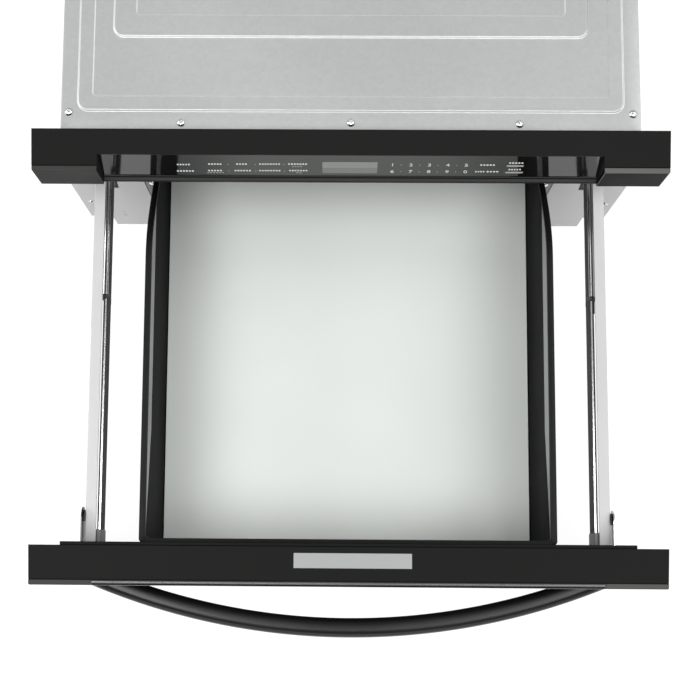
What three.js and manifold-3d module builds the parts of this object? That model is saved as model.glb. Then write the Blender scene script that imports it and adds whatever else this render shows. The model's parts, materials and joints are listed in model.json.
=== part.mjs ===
// Built-in microwave oven with a pull-out drawer, standing open.
// Millimetres. +X is to the right seen from the front, +Y runs into the cabinet, +Z is up.
// The origin is the centre of the underside. While the pieces are made, y = 0 is the plane of the mounting
// flanges, and the drawer's pieces are made where they lie with the drawer shut.

import * as THREE from "three";
import { mergeVertices } from "three/addons/utils/BufferGeometryUtils.js";
import Module from "manifold-3d";

const wasm = await Module();
wasm.setup();

// ---- Driving dimensions ----

// Overall
const bodyWidth = 551; // over the side panels
const bodyDepth = 548.5;
const bodyHeight = 373.7; // underside to the top of the cover
const sheet = 1.2; // all cabinet sheet metal
const faceOverhang = 27.7; // header and drawer front reach this far past the side panels
const faceTaper = 1.5; // each end leans in by this much towards the front
const faceProjection = 41.5; // front of the fascia plates to the flanges, drawer shut
const fasciaThickness = 5.3; // depth of the folded plates on the front
const fasciaSheet = 1.5;
const edgeChamfer = 0.8; // front edges of the fascia plates
const drawerTravel = 387.5;

// Gaps
const seat = 0.1; // between a piece and what it rests on or fits into
const running = 0.4; // between sliding and turning pieces

// Header
const headerHeight = 50.6;
const headerRise = 24; // above the cover
const headerWall = 2;
const earWidth = 63.2;
const brow = 25; // depth of the header's top between the ears
const browDrop = 2; // the control glass starts this far below the top
const glassRun = 9.8; // how far the control glass leans out
const glassRise = 45.6;
const glassThickness = 3;
const chinDepth = 3.9; // ledge in front of the glass's foot
const displayWidth = 52.9;
const displayHeight = 25;
const displayDrop = 14.6; // down the glass from its top edge
const boardWidth = 220;
const boardHeight = 34;
const boardThickness = 1.6;
const boardStandoff = 8;
const postRadius = 3; // the posts that carry a circuit board
const postInset = 6; // from the board's edges
const wiringHoleWidth = 120;
const wiringHoleHeight = 12;

// Top cover
const coverOverhang = 4.5; // beyond the side panels
const coverLip = 24;
const embossRise = 1.6;
const embossRamp = 4;
const stepDrop = 0.8; // the narrow inner step of each pressed frame
const stepRamp = 1.5;
const outerFrameInset = 16.3; // cover's edge to the first pressed frame, at the sides
const outerFrameFront = 23.6; // the same, at the front and rear
const outerFrameBand = 13.8; // width of the raised band
const innerFrameInset = 49.9;
const innerFrameFront = 98.3;
const innerFrameBand = 21.5;
const embossRadius = 14;
const stepRadius = 5;
const coverCorner = 3;

// Front frame and base pan
const flangeWidth = 24.5; // mounting flange, beyond the side panel
const flangeBottom = 42.7; // height of the flange's lower end
const panUpstand = 27.7;
const panRearUpstand = 22;
const slotInset = 3.5; // the rail slots, in from the side panels' outer faces
const slotWidth = 28;
const slotHeight = 120;
const slotRise = 37.3; // slot's top over the drawer rail
const frontLouvres = 3;
const frontLouvreLength = 5;
const frontLouvreHeight = 2.4;
const frontLouvrePitch = 9;
const frontLouvreInset = 13.5;
const frontLouvreStart = 46.5;

// Vents of the rear and side panels
const ventSlotWidth = 3.2;
const ventSlotLength = 34;
const ventPitch = 9;
const rearVentColumns = 16;
const rearVentRows = 2;
const sideVentColumns = 10;
const sideVentRearSpace = 109.7; // from the body's rear to the middle of the side vents
const ventBottom = 48;
const grilleRings = 3; // the round grille in front of the fan
const grilleSpokes = 3;
const grillePitch = 14.4;
const grilleSlot = 6.4;

// Cavity
const cavitySideSpace = 63.5; // body's side to the cavity, where the slides run
const cavityHeadroom = 48; // cavity's ceiling to the cover's top, where the waveguide lies
const cavityRearSpace = 110.5; // cavity's back to the body's rear, where the magnetron hangs
const cavityFloor = 127.7;
const cavityCorner = 4;
const mouthFlare = 7.5; // radius of the turned edge round the mouth
const mouthFlange = 8.5;
const stirrerOpening = 100;
const stirrerY = 240; // depth of the stirrer's axis

// Drawer front
const faceGap = 4.1; // header to drawer front
const drawerFoot = 3.7; // drawer front's lower edge over the underside
const drawerWall = 1.2;
const shellToFlange = 3.8; // rear of the drawer's shell to the flanges, shut
const panelGap = 0.4; // inner panel to the front frame, shut
const innerPanelInset = 1.8; // from the body's sides
const innerPanelFoot = 12; // above the drawer front's lower edge
const innerPanelDrop = 3; // below its upper edge
const shellLip = 13.2; // of the drawer's shell round its open rear
const chokeGroove = 12;
const chokeDepth = 2;
const chokeInset = 26; // inner panel's edge to the choke groove, at the sides
const chokeTopInset = 6;
const chokeUnder = 24; // the groove's foot under the mouth's lower edge
const trimWidth = 486;
const trimThickness = 0.8;
const trimInset = 0.35;

// Bow handle
const bowRadius = 660; // outer edge
const bowThickness = 18.6;
const bowHeight = 23;
const bowProjection = 48; // in front of the drawer's fascia plate
const bowDrop = 37.3; // drawer front's top to the handle's middle
const bowEdge = 7.5; // radius of the bar's long edges

// Bin
const binSideGap = 10.2; // rim to the cavity's side walls
const binTopGap = 10;
const binBackGap = 8.5;
const binFloorGap = 5.7;
const binRimWidth = 4.3;
const binWall = 3;
const binFrontWall = 4.3;
const binRimDepth = 6;
const binFloor = 4;
const binCorner = 3;
const rimDrop = 90; // the side walls fall by this much in half a cosine wave
const rimDropLength = 161;
const rimDropReach = 148; // from where the fall begins to the bin's back
const floorGlass = 5.3;
const floorGlassGap = 1;

// Slides
const slideSpace = 26.5; // drawer rail's web to the body's side
const railFlange = 3.5; // width of the drawer rail's lips, web included
const railCrown = 1.6; // flat part of each lip, before its edge turns down
const railEdgeDrop = 1.6;
const railSheet = 1.5;
const railHeight = 31;
const railTop = 247.7;
const railOverlap = 50.5; // length of the drawer rail still inside with the drawer open
const railStart = 8;
const middleSheet = 1.2;
const middleStart = 56.75;
const middlePast = 1.5; // middle member's rear end past the drawer rail's, shut
const stopLength = 5;
const cabinetRailStart = 15.6; // behind the rail blocks, shut
const footDrop = 28; // cabinet rail's top to its foot
const footHeight = 15;

// Side arm, rail block, front bracket
const armWidth = 11;
const armRise = 7; // over the drawer rail
const armWebHeight = 22;
const armShort = 0.5; // ends this far before the drawer rail
const blockWall = 0.9; // rail block's thickness inside the rail
const blockWidth = 7.6;
const blockLength = 14.5;
const blockOver = 3.4; // above the rail
const blockUnder = 1.2;
const bracketInset = 10.4; // bracket's inner face to the body's side
const bracketSheet = 1.5;
const bracketHeight = 21.2;
const bracketRise = 5.3; // bracket's middle over the drawer rail
const bracketReach = 36.9;
const capThickness = 1.5;
const capRadius = 8.5;
const capMargin = 3; // cap's rim to the bracket's tip

// Slot guard
const guardInset = 2.1; // fin's inner face inside the drawer rail's
const guardFin = 4.5;
const guardRise = 3.7; // over the slot's lower end
const guardHeight = 34;
const guardDepth = 26;
const guardPlate = 2;
const guardLedge = 4; // plate's reach inside the fin

// Rack and pinion
const gearModule = 2;
const pinionTeeth = 16;
const pressureAngle = THREE.MathUtils.degToRad(20);
const toothBacklash = 0.3;
const rackX = -100;
const rackWidth = 12;
const rackHeight = 13; // pitch line to the back of the rack
const rackUnderCavity = 29.7; // back of the rack to the cavity's floor
const rackPast = 18.5; // rack's length past the pinion with the drawer open
const pinionY = 24;
const shaftRadius = 4;
const pinionShaft = 18;
const driveStart = 5;
const driveLength = 52;
const driveSheet = 1.5;
const gearboxLength = 26;
const gearboxHeight = 44;
const gearboxInset = 2; // gearbox's ends to the drive bracket's
const gearboxCorner = 5;
const motorRadius = 17;
const motorLength = 52;
const motorBoss = 5.7; // radius
const motorBossLength = 4;
const guideWall = 3.2;
const guideDrop = 8.5;
const frameSlotMargin = 5; // round the rack, in the front frame

// Works behind and round the cavity
const waveguideWidth = 110;
const waveguideHeight = 30;
const waveguideStart = 182;
const waveguideRearSpace = 18.5; // to the body's rear
const antennaRearSpace = 58.5;
const antennaRadius = 9;
const antennaRise = 18; // over the cavity's ceiling
const antennaHole = 12;
const magnetronCore = 18;
const magnetronWall = 2;
const magnetronWidth = 84;
const magnetronDepth = 76;
const magnetronHeight = 92;
const magnetronFins = 6;
const stirrerRadius = 38;
const stirrerDrop = 16; // waveguide's top to the blade
const stirrerBlades = 4;
const stirrerBladeWidth = 20;
const stirrerBladeTilt = THREE.MathUtils.degToRad(14);
const stirrerHub = 9;
const stirrerHubHeight = 6;
const stirrerMotorRadius = 24;
const stirrerMotorHeight = 13;
const stirrerMotorTop = 2; // thickness of the can's closed end over the shaft
const stirrerShaft = 3;
const stirrerShaftGap = 1; // shaft's end to the closed end, and shaft to the waveguide
const transformerSideSpace = 110.5; // to the body's right side
const transformerRearSpace = 163.5;
const transformerLength = 96;
const transformerWidth = 64;
const transformerHeight = 82;
const windingOverhang = 14;
const windingCorner = 7;
const transformerFoot = 2.4; // thickness
const capacitorX = 60;
const capacitorRearSpace = 48.5;
const capacitorWidth = 54;
const capacitorDepth = 34;
const capacitorHeight = 96;
const capacitorTab = 6; // width of each terminal
const capacitorTabThickness = 1;
const capacitorTabHeight = 9;
const filterX = -40;
const filterRearSpace = 58.5;
const filterWidth = 76;
const filterDepth = 52;
const filterStandoff = 8;
const chokeRadius = 11;
const chokeHeight = 20;
const chokeShift = 14; // choke's middle to the board's
const filterBox = 24; // the filter's square capacitor
const filterBoxHeight = 16;
const filterBoxShift = 18;
const fanSideSpace = 115.5; // fan's axis to the body's left side
const fanZ = 82;
const fanSize = 120;
const fanDepth = 38;
const fanBore = 56;
const fanCorner = 6;
const fanStruts = 3;
const fanStrut = 5; // thickness
const fanStrutTurn = 0.4; // radians, from straight across
const fanBlades = 7;
const fanBladeThickness = 1.8;
const fanBladeChord = 26;
const fanBladeTwist = 0.75; // radians
const fanTipGap = 2.5;
const fanHub = 21;
const fanHubSetback = 3; // hub's front behind the housing's
const fanMotor = 18;
const fanMotorDepth = 12;
const fanMotorGap = 1; // hub to motor
const fanMotorBack = 2; // thickness of the motor's closed end
const fanShaft = 2.5;
const lampX = 150;
const lampY = 120;
const lampLength = 44;
const lampWidth = 30;
const lampHeight = 26;
const bulbRadius = 7;
const bulbReach = 8; // past the hood's middle
const socketRadius = 9;
const socketLength = 8; // outside the hood
const switchLength = 28;
const switchHeight = 20;
const switchGap = 2; // the closed bracket's tip to the switch's plunger
const switchInset = 1; // switch's inner face inside the bracket's
const plungerLength = 4;
const plungerHeight = 4;
const glandX = 20;
const glandZ = 60;
const glandRadius = 9;
const glandFlange = 13;
const glandFlangeThickness = 1.9;
const glandLength = 14;

// ---- Places that follow from them ----

const halfBody = bodyWidth / 2;
const halfFace = halfBody + faceOverhang;
const shellFront = -(faceProjection - fasciaThickness);
const headerTop = bodyHeight + headerRise;
const headerBottom = headerTop - headerHeight;
const drawerTop = headerBottom - faceGap;
const innerPanelHalf = halfBody - innerPanelInset;
const coverUnder = bodyHeight - sheet;
const panFloor = sheet + seat; // where what stands on the base pan begins
const panelInside = halfBody - sheet; // inner face of a side panel
const rearInside = bodyDepth - 2 * sheet - seat; // inner face of the rear panel
const frameBack = sheet; // rear face of the front frame
const cavityHalf = halfBody - cavitySideSpace;
const cavityCeiling = bodyHeight - cavityHeadroom;
const cavityBack = bodyDepth - cavityRearSpace;
const mouthHalf = cavityHalf + mouthFlare;
const mouthBottom = cavityFloor - mouthFlare;
const mouthTop = cavityCeiling + mouthFlare;
const ceilingTop = cavityCeiling + sheet;
const panelRear = -panelGap; // rear face of the inner panel
const onPanel = panelRear + seat; // where what is fixed to the inner panel begins
const plateBack = shellFront - seat; // rear of the fascia plates
const binHalf = cavityHalf - binSideGap;
const binInnerHalf = binHalf - binRimWidth;
const binRim = cavityCeiling - binTopGap;
const binBottom = cavityFloor + binFloorGap;
const binBack = cavityBack - binBackGap;
const rimDropStart = binBack - rimDropReach;
const railInner = halfBody - slideSpace;
const railBottom = railTop - railHeight;
const railBack = drawerTravel + railOverlap;
const slotOuter = halfBody - slotInset;
const slotInner = slotOuter - slotWidth;
const slotTop = railTop + slotRise;
const slotBottom = slotTop - slotHeight;
const bracketInner = halfBody - bracketInset;
const bracketMiddle = railTop + bracketRise;
const rackTop = cavityFloor - rackUnderCavity;
const rackPitchLine = rackTop - rackHeight;
const rackEnd = pinionY + drawerTravel + rackPast;
const pitchRadius = (gearModule * pinionTeeth) / 2;
const addendum = gearModule;
const dedendum = 1.25 * gearModule;
const toothPitch = Math.PI * gearModule;
const pinionZ = rackPitchLine - pitchRadius - toothBacklash;
const plateX = rackX + rackWidth / 2 + running + driveSheet; // drive bracket's upright, rack's side
const waveguideFoot = ceilingTop + seat;
const waveguideTop = waveguideFoot + waveguideHeight;
const waveguideEnd = bodyDepth - waveguideRearSpace;
const antennaY = bodyDepth - antennaRearSpace;
const transformerX = halfBody - transformerSideSpace;
const transformerY = bodyDepth - transformerRearSpace;
const capacitorY = bodyDepth - capacitorRearSpace;
const filterY = bodyDepth - filterRearSpace;
const fanX = fanSideSpace - halfBody;

// ---- Making solids ----

const cornerSteps = 4;
const roundSteps = 24;

// The matrix that takes (u, v, h) to the room, where h runs along the named axis.
function alongAxis(axis) {
  const [x, y, z] = [0, 1, 2].map((i) => new THREE.Vector3().setComponent(i, 1));
  const bases = { x: [y, z, x], y: [z, x, y], z: [x, y, z] };
  return new THREE.Matrix4().makeBasis(...bases[axis]);
}

function solidFrom(geometry) {
  const bare = geometry.clone();
  bare.deleteAttribute("normal");
  bare.deleteAttribute("uv");
  const merged = mergeVertices(bare, 1e-4);
  const triVerts = [];
  for (let i = 0; i < merged.index.count; i += 3) {
    const [a, b, c] = merged.index.array.slice(i, i + 3);
    // Where a corner's radius is nothing its points fall together, and so do their triangles.
    if (a !== b && b !== c && c !== a) triVerts.push(a, b, c);
  }
  return new wasm.Manifold(
    new wasm.Mesh({
      numProp: 3,
      vertProperties: new Float32Array(merged.attributes.position.array),
      triVerts: new Uint32Array(triVerts),
    }),
  );
}

const join = (first, ...rest) => rest.reduce((whole, next) => whole.add(next), first);
const cut = (first, ...rest) => rest.reduce((whole, next) => whole.subtract(next), first);

// Moves the two ends of a geometry that is one unit long along a component to exact places.
function spread(geometry, component, [from, to]) {
  const positions = geometry.attributes.position;
  const middle = geometry.boundingBox.getCenter(new THREE.Vector3()).getComponent(component);
  const [low, high] = [Math.min(from, to), Math.max(from, to)];
  for (let i = 0; i < positions.count; i++) {
    positions.setComponent(i, component, positions.getComponent(i, component) < middle ? low : high);
  }
}

// A block between two corners; each range may be given either way round.
function block(...ranges) {
  const geometry = new THREE.BoxGeometry();
  geometry.computeBoundingBox();
  ranges.forEach((range, component) => spread(geometry, component, range));
  return solidFrom(geometry);
}

// A flat outline carried along an axis. Outlines are in (y, z) along x, (x, z) along y and (x, y) along z.
function extrude(shape, axis, range) {
  const geometry = new THREE.ExtrudeGeometry(shape, {
    depth: 1,
    bevelEnabled: false,
    curveSegments: cornerSteps,
  });
  // (x, z) is drawn as given, and turned upright about x.
  if (axis === "y") geometry.rotateX(Math.PI / 2);
  else geometry.applyMatrix4(alongAxis(axis));
  geometry.computeBoundingBox();
  spread(geometry, "xyz".indexOf(axis), range);
  return solidFrom(geometry);
}

const outline = (points) => new THREE.Shape(points.map(([u, v]) => new THREE.Vector2(u, v)));

function roundedOutline([u0, u1], [v0, v1], radius) {
  const quarter = Math.PI / 2;
  const shape = new THREE.Shape();
  shape.absarc(u1 - radius, v1 - radius, radius, 0, quarter);
  shape.absarc(u0 + radius, v1 - radius, radius, quarter, 2 * quarter);
  shape.absarc(u0 + radius, v0 + radius, radius, 2 * quarter, 3 * quarter);
  shape.absarc(u1 - radius, v0 + radius, radius, 3 * quarter, 4 * quarter);
  shape.closePath();
  return shape;
}

// A round bar along an axis; centre is given in the two other coordinates, in x, y, z order.
function rod(radius, axis, [from, to], [a, b], steps = roundSteps) {
  const length = Math.abs(to - from);
  const middle = (from + to) / 2;
  const geometry = new THREE.CylinderGeometry(radius, radius, length, steps);
  if (axis === "x") return solidFrom(geometry.rotateZ(Math.PI / 2).translate(middle, a, b));
  if (axis === "y") return solidFrom(geometry.translate(a, middle, b));
  return solidFrom(geometry.rotateX(Math.PI / 2).translate(a, b, middle));
}

// One turn of a rounded rectangle, counter-clockwise in (u, v), at height h.
function ring([u0, u1], [v0, v1], radius, h) {
  const corners = [
    [u1 - radius, v1 - radius],
    [u0 + radius, v1 - radius],
    [u0 + radius, v0 + radius],
    [u1 - radius, v0 + radius],
  ];
  return corners.flatMap(([u, v], corner) =>
    Array.from({ length: cornerSteps + 1 }, (_, i) => {
      const angle = (Math.PI / 2) * (corner + i / cornerSteps);
      return new THREE.Vector3(u + radius * Math.cos(angle), v + radius * Math.sin(angle), h);
    }),
  );
}

// A skin through rings of as many points each, closed by a flat fan at each end. The rings go along +axis.
function loft(rings, axis = "z") {
  const count = rings[0].length;
  const index = [];
  for (let r = 0; r + 1 < rings.length; r++) {
    for (let i = 0; i < count; i++) {
      const a = r * count + i;
      const b = r * count + ((i + 1) % count);
      index.push(a, b, a + count, b, b + count, a + count);
    }
  }
  const last = (rings.length - 1) * count;
  for (let i = 1; i + 1 < count; i++) {
    index.push(0, i + 1, i);
    index.push(last, last + i, last + i + 1);
  }
  const geometry = new THREE.BufferGeometry().setFromPoints(rings.flat());
  geometry.setIndex(index);
  return solidFrom(geometry.applyMatrix4(alongAxis(axis)));
}

// ---- Finishes ----

const finishes = {
  blackSteel: { color: 0x272727, roughness: 0.42, metalness: 0.7 },
  galvanised: { color: 0xc0c2c1, roughness: 0.45, metalness: 0.6 },
  palePaint: { color: 0xe2e3e4, roughness: 0.5, metalness: 0.1 },
  cavityEnamel: { color: 0x50514f, roughness: 0.5, metalness: 0.2 },
  blackPlastic: { color: 0x141414, roughness: 0.45, metalness: 0 },
  greyPlastic: { color: 0x8c8f90, roughness: 0.5, metalness: 0 },
  blackGlass: { color: 0x0c0d0d, roughness: 0.06, metalness: 0 },
  floorGlass: { color: 0xc6ccc8, roughness: 0.1, metalness: 0 },
  brightSteel: { color: 0xd8dadb, roughness: 0.2, metalness: 0.9 },
  zincSteel: { color: 0xb9bcbd, roughness: 0.35, metalness: 0.8 },
  copper: { color: 0xb2623a, roughness: 0.4, metalness: 0.8 },
  boardGreen: { color: 0x2f6b45, roughness: 0.5, metalness: 0 },
  mica: { color: 0xc9bfa8, roughness: 0.5, metalness: 0 },
  whitePlastic: { color: 0xe6e6e0, roughness: 0.5, metalness: 0 },
};

function geometryOf(solid) {
  const { numProp, vertProperties, triVerts } = solid.getMesh();
  const positions = new Float32Array((vertProperties.length / numProp) * 3);
  for (let i = 0; i * numProp < vertProperties.length; i++) {
    positions.set(vertProperties.subarray(i * numProp, i * numProp + 3), i * 3);
  }
  const indexed = new THREE.BufferGeometry();
  indexed.setAttribute("position", new THREE.BufferAttribute(positions, 3));
  indexed.setIndex(new THREE.BufferAttribute(triVerts, 1));
  const geometry = indexed.toNonIndexed();
  geometry.computeVertexNormals();
  return geometry;
}

function piece(parent, name, solid, finish) {
  const mesh = new THREE.Mesh(geometryOf(solid), new THREE.MeshStandardMaterial(finishes[finish]));
  mesh.name = name;
  parent.add(mesh);
}

const sides = [
  { hand: "left", side: -1 },
  { hand: "right", side: 1 },
];

// A box between two planes of the face, whose ends follow the lean of the face's ends.
function faceBlock([yBack, yFront], [zLow, zHigh], chamfer = 0) {
  const halfAt = (y) => halfFace + (faceTaper * y) / faceProjection;
  const at = (y, inset) => {
    const half = halfAt(y) - inset;
    return ring([zLow + inset, zHigh - inset], [-half, half], 0, y);
  };
  return loft(
    chamfer
      ? [at(yFront, chamfer), at(yFront + chamfer, 0), at(yBack, 0)]
      : [at(yFront, 0), at(yBack, 0)],
    "y",
  );
}

const everywhere = 1000; // longer than any piece, for cutting tools

// ---- Header ----

const earInner = halfFace - earWidth;
const glassTop = [-brow, headerTop - browDrop];
const glassFoot = [-brow - glassRun, glassTop[1] - glassRise];
const glassLength = Math.hypot(glassRun, glassRise);
const glassDown = [-glassRun / glassLength, -glassRise / glassLength];
const glassIn = [glassRise / glassLength, -glassRun / glassLength];

// A point of the (y, z) plane, so far down the slanted glass and so far in behind its face.
const onGlass = (down, depth) => [
  glassTop[0] + glassDown[0] * down + glassIn[0] * depth,
  glassTop[1] + glassDown[1] * down + glassIn[1] * depth,
];

function headerShell() {
  const body = faceBlock([-seat, shellFront], [headerBottom, headerTop]);
  const recess = block([-earInner, earInner], [-everywhere, -headerWall], [0, everywhere]);
  const seatTop = onGlass(0, glassThickness);
  const seatFoot = onGlass(glassLength, glassThickness);
  const chinFront = glassFoot[0] - chinDepth;
  const middle = extrude(
    outline([
      [-headerWall, headerTop],
      [-brow, headerTop],
      glassTop,
      seatTop,
      seatFoot,
      glassFoot,
      [chinFront, glassFoot[1]],
      [chinFront, headerBottom],
      [-headerWall, headerBottom],
    ]),
    "x",
    [-earInner, earInner],
  );
  const deepest = onGlass(0, glassThickness + headerWall);
  const hollowMiddle = extrude(
    outline([
      [-headerWall, headerTop - headerWall],
      [deepest[0], headerTop - headerWall],
      deepest,
      onGlass(glassLength, glassThickness + headerWall),
      [glassFoot[0] + glassThickness + headerWall, headerBottom + headerWall],
      [-headerWall, headerBottom + headerWall],
    ]),
    "x",
    [-earInner, earInner],
  );
  const earHollows = sides.map(({ side }) =>
    block(
      [side * (earInner - headerWall), side * (halfFace - faceTaper - headerWall)],
      [shellFront + headerWall, -headerWall],
      [headerBottom + headerWall, headerTop - headerWall],
    ),
  );
  const earWalls = sides.map(({ side }) =>
    block(
      [side * earInner, side * (earInner + headerWall)],
      [shellFront, -seat],
      [headerBottom, headerTop],
    ),
  );
  const passage = block(
    [-halfFace + earWidth / 2, halfFace - earWidth / 2],
    [-brow / 2, -headerWall],
    [headerBottom + 2 * headerWall, headerTop - 2 * headerWall],
  );
  const wiringHole = block(
    [-wiringHoleWidth / 2, wiringHoleWidth / 2],
    [-headerWall, 0],
    [headerBottom + 2 * headerWall, headerBottom + 2 * headerWall + wiringHoleHeight],
  );
  const outer = join(cut(body, recess), middle);
  return cut(join(cut(outer, hollowMiddle, ...earHollows), ...earWalls), passage, wiringHole);
}

function headerPlate(side) {
  const plate = faceBlock([plateBack, -faceProjection], [headerBottom, headerTop], edgeChamfer);
  const inner = block([-side * everywhere, side * earInner], [-everywhere, everywhere], [0, everywhere]);
  return cut(plate, inner);
}

function glassSlab([downFrom, downTo], half, [front, back]) {
  const corners = [
    onGlass(downFrom, front),
    onGlass(downTo, front),
    onGlass(downTo, back),
    onGlass(downFrom, back),
  ];
  return extrude(outline(corners), "x", [-half, half]);
}

function controlGlass() {
  const slab = glassSlab([seat, glassLength - seat], earInner - seat, [0, glassThickness - seat]);
  const window = [displayDrop, displayDrop + displayHeight];
  return cut(slab, glassSlab(window, displayWidth / 2, [-glassThickness, 2 * glassThickness]));
}

function displayWindow() {
  const window = [displayDrop + seat, displayDrop + displayHeight - seat];
  return glassSlab(window, displayWidth / 2 - seat, [seat, glassThickness - seat]);
}

function controlBoard() {
  const front = -(headerWall + boardStandoff + boardThickness);
  const low = headerBottom + headerWall + wiringHoleHeight / 2;
  const board = block(
    [-boardWidth / 2, boardWidth / 2],
    [front, front + boardThickness],
    [low, low + boardHeight],
  );
  const posts = sides.map(({ side }) =>
    rod(
      postRadius,
      "y",
      [front, -headerWall - seat],
      [side * (boardWidth / 2 - postInset), low + boardHeight - postInset],
      12,
    ),
  );
  return join(board, ...posts);
}

// ---- Cabinet panels ----

function topCover() {
  const half = halfBody + coverOverhang;
  const frameRing = (inset, front, radius, z) =>
    ring([-half + inset, half - inset], [frameBack + front, bodyDepth - front], radius, z);
  const edge = frameRing(0, 0, coverCorner, bodyHeight);
  // From the cover's edge inwards: two raised frames, each with a ramp outside and a narrow step inside.
  const pressing = [];
  let level = bodyHeight;
  for (const [inset, front, band] of [
    [outerFrameInset, outerFrameFront, outerFrameBand],
    [innerFrameInset, innerFrameFront, innerFrameBand],
  ]) {
    const stepInset = inset + band;
    const stepFront = front + band;
    pressing.push(frameRing(inset, front, embossRadius, level));
    level += embossRise;
    pressing.push(frameRing(inset + embossRamp, front + embossRamp, embossRadius - embossRamp, level));
    pressing.push(frameRing(stepInset, stepFront, stepRadius, level));
    level -= stepDrop;
    pressing.push(frameRing(stepInset + stepRamp, stepFront + stepRamp, stepRadius - stepRamp, level));
  }
  const underside = pressing.map((points) => points.map((point) => point.clone().setZ(point.z - sheet)));
  const lipFoot = bodyHeight - coverLip;
  return loft([
    ...underside.reverse(),
    frameRing(sheet, sheet, coverCorner - sheet, coverUnder),
    frameRing(sheet, sheet, coverCorner - sheet, lipFoot),
    frameRing(0, 0, coverCorner, lipFoot),
    edge,
    ...pressing,
  ]);
}

function ventSlots(columns, middle, rows, slotAt) {
  const slots = [];
  for (let row = 0; row < rows; row++) {
    const low = ventBottom + row * (ventSlotLength + ventPitch);
    for (let column = 0; column < columns; column++) {
      const start = middle + (column - (columns - 1) / 2) * ventPitch - ventSlotWidth / 2;
      slots.push(slotAt([start, start + ventSlotWidth], [low, low + ventSlotLength]));
    }
  }
  return slots;
}

function sidePanel(side) {
  const flangeTop = [coverUnder - sheet - seat, coverUnder - seat];
  const ys = [frameBack + sheet + seat, rearInside - seat];
  const wall = block([side * panelInside, side * halfBody], ys, [panFloor, coverUnder - seat]);
  // The flange stops short of the cover's rounded corners.
  const flange = block(
    [side * panelInside, side * (halfBody + coverOverhang - sheet - seat)],
    [ys[0] + coverCorner, ys[1] - coverCorner],
    flangeTop,
  );
  const through = [side * (panelInside - sheet), side * (halfBody + sheet)];
  const middle = bodyDepth - sideVentRearSpace;
  const slots = ventSlots(sideVentColumns, middle, 1, (along, zs) => block(through, along, zs));
  return cut(join(wall, flange), ...slots);
}

function backPanel() {
  const top = coverUnder - seat;
  const plate = block([-halfBody, halfBody], [rearInside, rearInside + sheet], [panFloor, top]);
  const through = [rearInside - sheet, rearInside + 2 * sheet];
  const slots = ventSlots(rearVentColumns, transformerX, rearVentRows, (xs, zs) => block(xs, through, zs));
  const grille = [];
  for (let i = 0; i < grilleRings; i++) {
    const outerRadius = fanBore - i * grillePitch;
    const annulus = cut(
      rod(outerRadius, "y", through, [fanX, fanZ]),
      rod(outerRadius - grilleSlot, "y", [through[0] - 1, through[1] + 1], [fanX, fanZ]),
    );
    const spokes = Array.from({ length: grilleSpokes }, (_, bar) => {
      const spoke = new THREE.BoxGeometry(3 * fanBore, everywhere, grilleSlot);
      return solidFrom(spoke.rotateY((bar * Math.PI) / grilleSpokes).translate(fanX, rearInside, fanZ));
    });
    grille.push(cut(annulus, ...spokes));
  }
  const glandHole = rod(glandRadius + running, "y", through, [glandX, glandZ]);
  return cut(plate, ...slots, ...grille, glandHole);
}

function basePan() {
  const bend = outline([
    [0, 0],
    [bodyDepth, 0],
    [bodyDepth, panRearUpstand],
    [bodyDepth - sheet, panRearUpstand],
    [bodyDepth - sheet, sheet],
    [sheet, sheet],
    [sheet, panUpstand],
    [0, panUpstand],
  ]);
  return extrude(bend, "x", [-halfBody, halfBody]);
}

function frontFrame() {
  const flangeEdge = halfBody + flangeWidth;
  const shape = outline([
    [-halfBody, panUpstand + seat],
    [halfBody, panUpstand + seat],
    [halfBody, flangeBottom],
    [flangeEdge, flangeBottom],
    [flangeEdge, bodyHeight],
    [-flangeEdge, bodyHeight],
    [-flangeEdge, flangeBottom],
    [-halfBody, flangeBottom],
  ]);
  const through = [-sheet, 2 * sheet];
  const mouth = extrude(
    roundedOutline([-mouthHalf, mouthHalf], [mouthBottom, mouthTop], cavityCorner + mouthFlare),
    "y",
    through,
  );
  const railSlots = sides.map(({ side }) =>
    block([side * slotInner, side * slotOuter], through, [slotBottom, slotTop]),
  );
  const rackSlot = block(
    [rackX - rackWidth / 2 - frameSlotMargin, rackX + rackWidth / 2 + frameSlotMargin],
    through,
    [rackPitchLine - addendum - frameSlotMargin, rackTop + frameSlotMargin],
  );
  const louvres = [];
  const louvreEdge = frontLouvreInset - halfBody;
  for (let i = 0; i < frontLouvres; i++) {
    const low = frontLouvreStart + i * frontLouvrePitch;
    const across = [louvreEdge, louvreEdge + frontLouvreLength];
    louvres.push(block(across, through, [low, low + frontLouvreHeight]));
  }
  const wiringHole = block([-wiringHoleWidth / 2, wiringHoleWidth / 2], through, [
    headerBottom + 2 * headerWall,
    headerBottom + 2 * headerWall + wiringHoleHeight,
  ]);
  return cut(extrude(shape, "y", [0, sheet]), mouth, ...railSlots, rackSlot, ...louvres, wiringHole);
}

// ---- Cavity ----

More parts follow.
